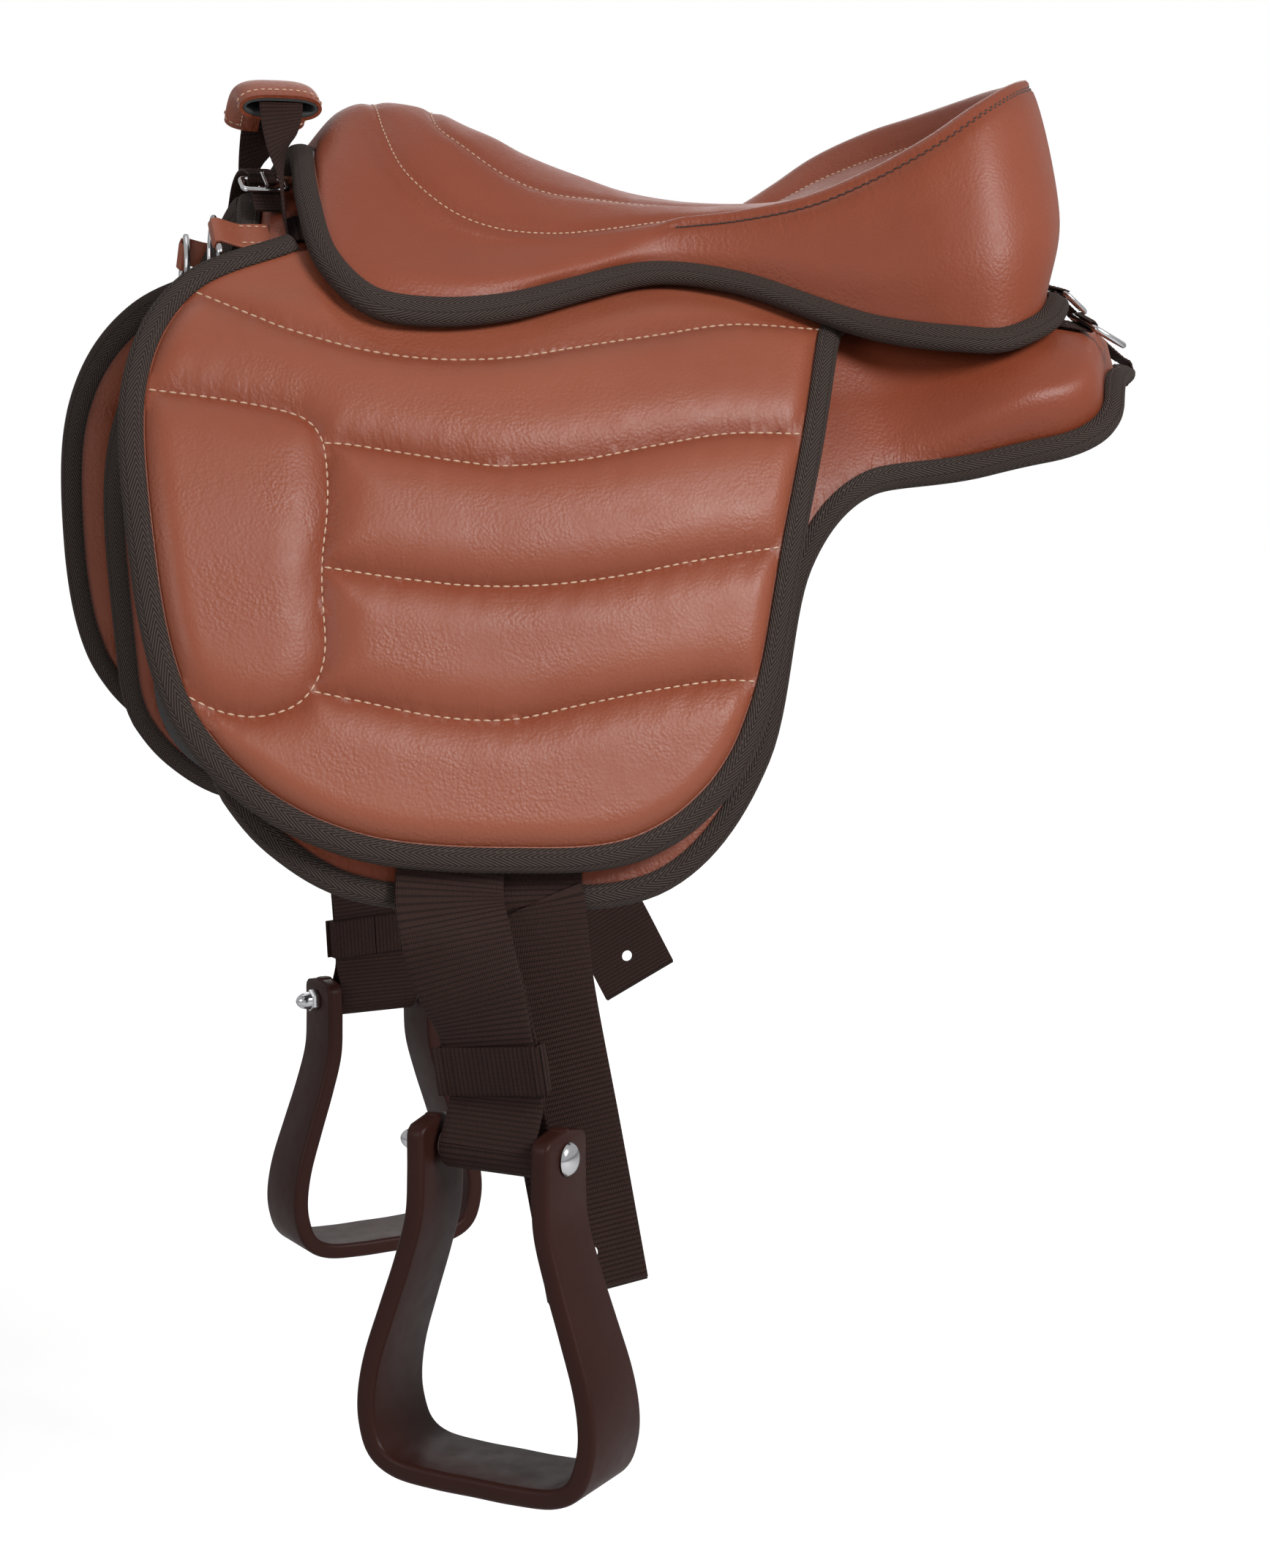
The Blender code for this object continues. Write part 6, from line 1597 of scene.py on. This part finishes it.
def saddle_leather(name="saddle_leather", depth=(1, 1, 1, 1)):
    """Pebbled chestnut leather, with painted shade near its seams and a soft pink sheen on its
    crowns.
    """
    made = Finish(name, specular_ior_level=0.5, sheen_weight=0.06, sheen_roughness=0.4,
                  sheen_tint=(1.0, 0.66, 0.58, 1))
    # Nearness to seams and bound edges, which carries the painted shade
    seam = made.put("Attribute", attribute_name="seam").outputs["Fac"]
    broad, fine = made.noise(7.0, 2.0), made.noise(55.0, 4.0, 0.6)
    # A depth below one darkens this copy of the leather, as painted shade
    deep, light, faded = (tuple(part * share for part, share in zip(shade, depth))
                          for shade in (LEATHER_DEEP, LEATHER_LIGHT, LEATHER_FADED))
    colour = made.mixed(made.spread(broad, 0.35, 0.65), deep, light)
    colour = made.mixed(made.times(fine, 0.35), colour, faded)
    # Painted shade near the seams and bound edges
    colour = made.mixed(made.times(seam, 0.62), colour, LEATHER_SEAM_SHADE)
    pebble = made.put("TexVoronoi", {"Vector": made.spot["Object"], "Scale": PEBBLE_SCALE,
                                     "Smoothness": 0.6}, feature="SMOOTH_F1").outputs["Distance"]
    pores = made.noise(PEBBLE_SCALE * 1.9, 2.0)
    grain = made.add(made.times(pebble, -1.0), made.times(pores, 0.35))
    grain = made.times(grain, made.spread(made.noise(26.0, 2.0), 0.38, 0.62, 0.35, 1.0))
    crease = made.noise(210.0, 2.0, distortion=0.6, stretch=(1.0, 0.35, 0.35))
    crease = made.times(crease, made.add(seam, 0.12))
    normal = made.relief(crease, 0.0012, 0.55)
    rough = made.add(made.spread(fine, 0.3, 0.7, 0.40, 0.50), made.times(pebble, 0.08))
    return made.done(base_color=colour, roughness=rough,
                     normal=made.relief(grain, 0.00042, 0.55, normal))


def edge_webbing():
    """Dark herringbone tape."""
    made = Finish("herringbone_tape", roughness=0.85, specular_ior_level=0.25)
    along, across = made.along_and_across()
    zig = made.maths("PINGPONG", made.add(across, TWILL_SHIFT), TWILL_HALF)
    phase = made.times(made.add(made.times(along, TWILL_SLOPE), zig), 2 * math.pi / TWILL_PITCH)
    stripe = made.times(made.spread(made.maths("SINE", phase), -0.8, 0.8),
                        made.spread(zig, 0.0, 0.0004))
    colour = made.mixed(stripe, TAPE_DARK, TAPE_LIGHT)
    colour = made.mixed(made.times(made.noise(160.0, 4.0, 0.7), 0.3), colour, TAPE_WORN)
    height = made.add(stripe, made.times(made.noise(2600.0, 1.0), 0.35))
    return made.done(base_color=colour, normal=made.relief(height, 0.0005, 0.9))


def strap_webbing():
    """Ribbed dark brown webbing, with painted shade in the grooves between its ribs."""
    made = Finish("ribbed_webbing", roughness=0.70, specular_ior_level=0.2)
    along, across = made.along_and_across()
    rib_shade = made.maths("COSINE", made.times(along, 2 * math.pi / RIB_PITCH))
    ply = made.maths("SINE", made.times(across, 2 * math.pi / PLY_PITCH))
    ply = made.spread(ply, -1.0, 1.0)
    colour = made.mixed(made.times(ply, 0.7), WEBBING_DARK, WEBBING_LIGHT)
    colour = made.mixed(made.times(made.noise(60.0, 3.0, 0.6), 0.45), colour, WEBBING_WORN)
    # Painted shade in the grooves between the ribs
    colour = made.mixed(made.times(made.spread(rib_shade, 0.1, 0.9), 0.8), colour, WEBBING_GROOVE_SHADE)
    height = made.add(ply, made.times(made.noise(1900.0, 2.0), 0.8))
    return made.done(base_color=colour, normal=made.relief(height, 0.00028, 0.8))


def fibrous(name, dark, light, scale, roughness, depth):
    """A plain matted or knitted cloth."""
    made = Finish(name, roughness=roughness, sheen_weight=0.3, sheen_roughness=0.6)
    hair = made.noise(scale, 4.0, 0.7)
    colour = made.mixed(hair, dark, light)
    colour = made.mixed(made.times(made.noise(scale / 12, 3.0), 0.3), colour, light)
    return made.done(base_color=colour, normal=made.relief(hair, depth, 0.8))


def smooth_plastic(name, dark, light, rough):
    """Moulded or melted plastic with a faint mottle."""
    made = Finish(name, specular_ior_level=0.16)
    return made.done(base_color=made.mixed(made.noise(24.0), dark, light),
                     roughness=made.spread(made.noise(90.0, 4.0), 0.3, 0.7, rough, rough + 0.1),
                     normal=made.relief(made.noise(900.0, 2.0), 0.00006, 0.6))


def polished_steel():
    """Chromed steel with a little dulling."""
    made = Finish("polished_steel", metallic=1.0)
    haze = made.noise(130.0, 4.0, 0.6)
    scratch = made.noise(420.0, 2.0, stretch=(1.0, 8.0, 1.0))
    return made.done(base_color=made.mixed(haze, STEEL_DARK, STEEL_LIGHT),
                     roughness=made.spread(haze, 0.3, 0.7, 0.12, 0.24),
                     normal=made.relief(scratch, 0.00002, 0.5))


def sewing_thread(name, dark, light):
    """Twisted sewing thread."""
    made = Finish(name, roughness=0.62, sheen_weight=0.2)
    twist = made.noise(2400.0, 1.0)
    colour = made.mixed(made.spread(twist, 0.35, 0.65), dark, light)
    colour = made.mixed(made.times(made.noise(45.0, 2.0), 0.4), colour, dark)
    return made.done(base_color=colour, normal=made.relief(twist, 0.00015, 0.7))


# Studio


def placed(name, data, place, forward):
    """An object of the studio that looks forward from its place."""
    made = bpy.data.objects.new(name, data)
    bpy.context.scene.collection.objects.link(made)
    made.location = place
    made.rotation_euler = Vector(forward).to_track_quat("-Z", "Y").to_euler()
    return made


def studio():
    """The camera, the pale floor, the white surround and the soft lamps."""
    scene = bpy.context.scene
    scene.view_settings.view_transform = "Standard"
    lens = bpy.data.cameras.new("camera")
    lens.lens = CAMERA_LENS
    lens.sensor_width = CAMERA_SENSOR
    turn, tilt = math.radians(CAMERA_TURN), math.radians(CAMERA_TILT)
    scene.camera = placed("camera", lens, CAMERA_PLACE, (
        math.sin(turn) * math.cos(tilt), math.cos(turn) * math.cos(tilt), -math.sin(tilt)))
    clear_selection()
    bpy.ops.mesh.primitive_plane_add(size=FLOOR_SIZE, location=(0, 0, FLOOR_LEVEL))
    floor = bpy.context.object
    floor.name = "pale_floor"
    paint = Finish("floor_paint", roughness=0.9, emission_color=(1, 1, 1, 1))
    away = paint.put("VectorMath", {0: paint.spot["Object"]}, operation="LENGTH").outputs["Value"]
    glow = paint.spread(away, FLOOR_GLOW_START, FLOOR_GLOW_END, FLOOR_GLOW_NEAR, FLOOR_GLOW_FAR)
    camera_ray = paint.put("LightPath").outputs["Is Camera Ray"]
    floor.data.materials.append(paint.done(
        base_color=paint.mixed(paint.noise(3.0), FLOOR_DARK, FLOOR_LIGHT),
        emission_strength=paint.times(camera_ray, glow)))
    world = bpy.data.worlds.new("white_surround")
    world.use_nodes = True
    scene.world = world
    air = Nodes(world.node_tree)
    path = air.put("LightPath").outputs
    seen = air.maths("MAXIMUM", path["Is Camera Ray"], air.maths(
        "MAXIMUM", air.times(path["Is Glossy Ray"], GLOSSY_SHARE), path["Is Transmission Ray"]))
    back = world.node_tree.nodes["Background"]
    back.inputs[0].default_value = (1, 1, 1, 1)
    world.node_tree.links.new(air.maths("MAXIMUM", seen, SURROUND_LIGHT), back.inputs[1])
    for name, place, size, power in LAMPS:
        light = bpy.data.lights.new(name, "AREA")
        light.shape = "DISK"
        light.size = size
        light.energy = power
        placed(name, light, place, Vector(LAMP_AIM) - Vector(place))


# Start


# The finish of each kind of piece
FINISHES = {
    "leather": saddle_leather(),
    # A darker copy of the leather, as painted shade on the seat and base pads
    "shaded_leather": saddle_leather("shaded_seat_leather", SHADED_LEATHER_TINT),
    "tape": edge_webbing(),
    "webbing": strap_webbing(),
    "felt": fibrous("wool_felt", FELT_DARK, FELT_LIGHT, 900.0, 0.95, 0.0006),
    "lining": fibrous("grip_lining_cloth", LINING_DARK, LINING_LIGHT, 1400.0, 0.85, 0.0003),
    "moulding": smooth_plastic("stirrup_moulding", MOULDING_DARK, MOULDING_LIGHT, 0.36),
    "melted": smooth_plastic("melted_webbing", MELTED_DARK, MELTED_LIGHT, 0.40),
    "chrome": polished_steel(),
    "thread": sewing_thread("cream_thread", CREAM_DARK, CREAM_LIGHT),
    "dark_thread": sewing_thread("brown_thread", BROWN_DARK, BROWN_LIGHT),
}

for hand in (-1, 1):
    base(hand)
    flap(hand)
    hanger_and_ring(hand)
    stirrup_leather(hand)
    stirrup(hand)
    billet(hand)
    ring_and_tab("front", hand)
    ring_and_tab("rear", hand)
spine()
seat()
hand_strap()
front_strap()
rear_strap()
studio()
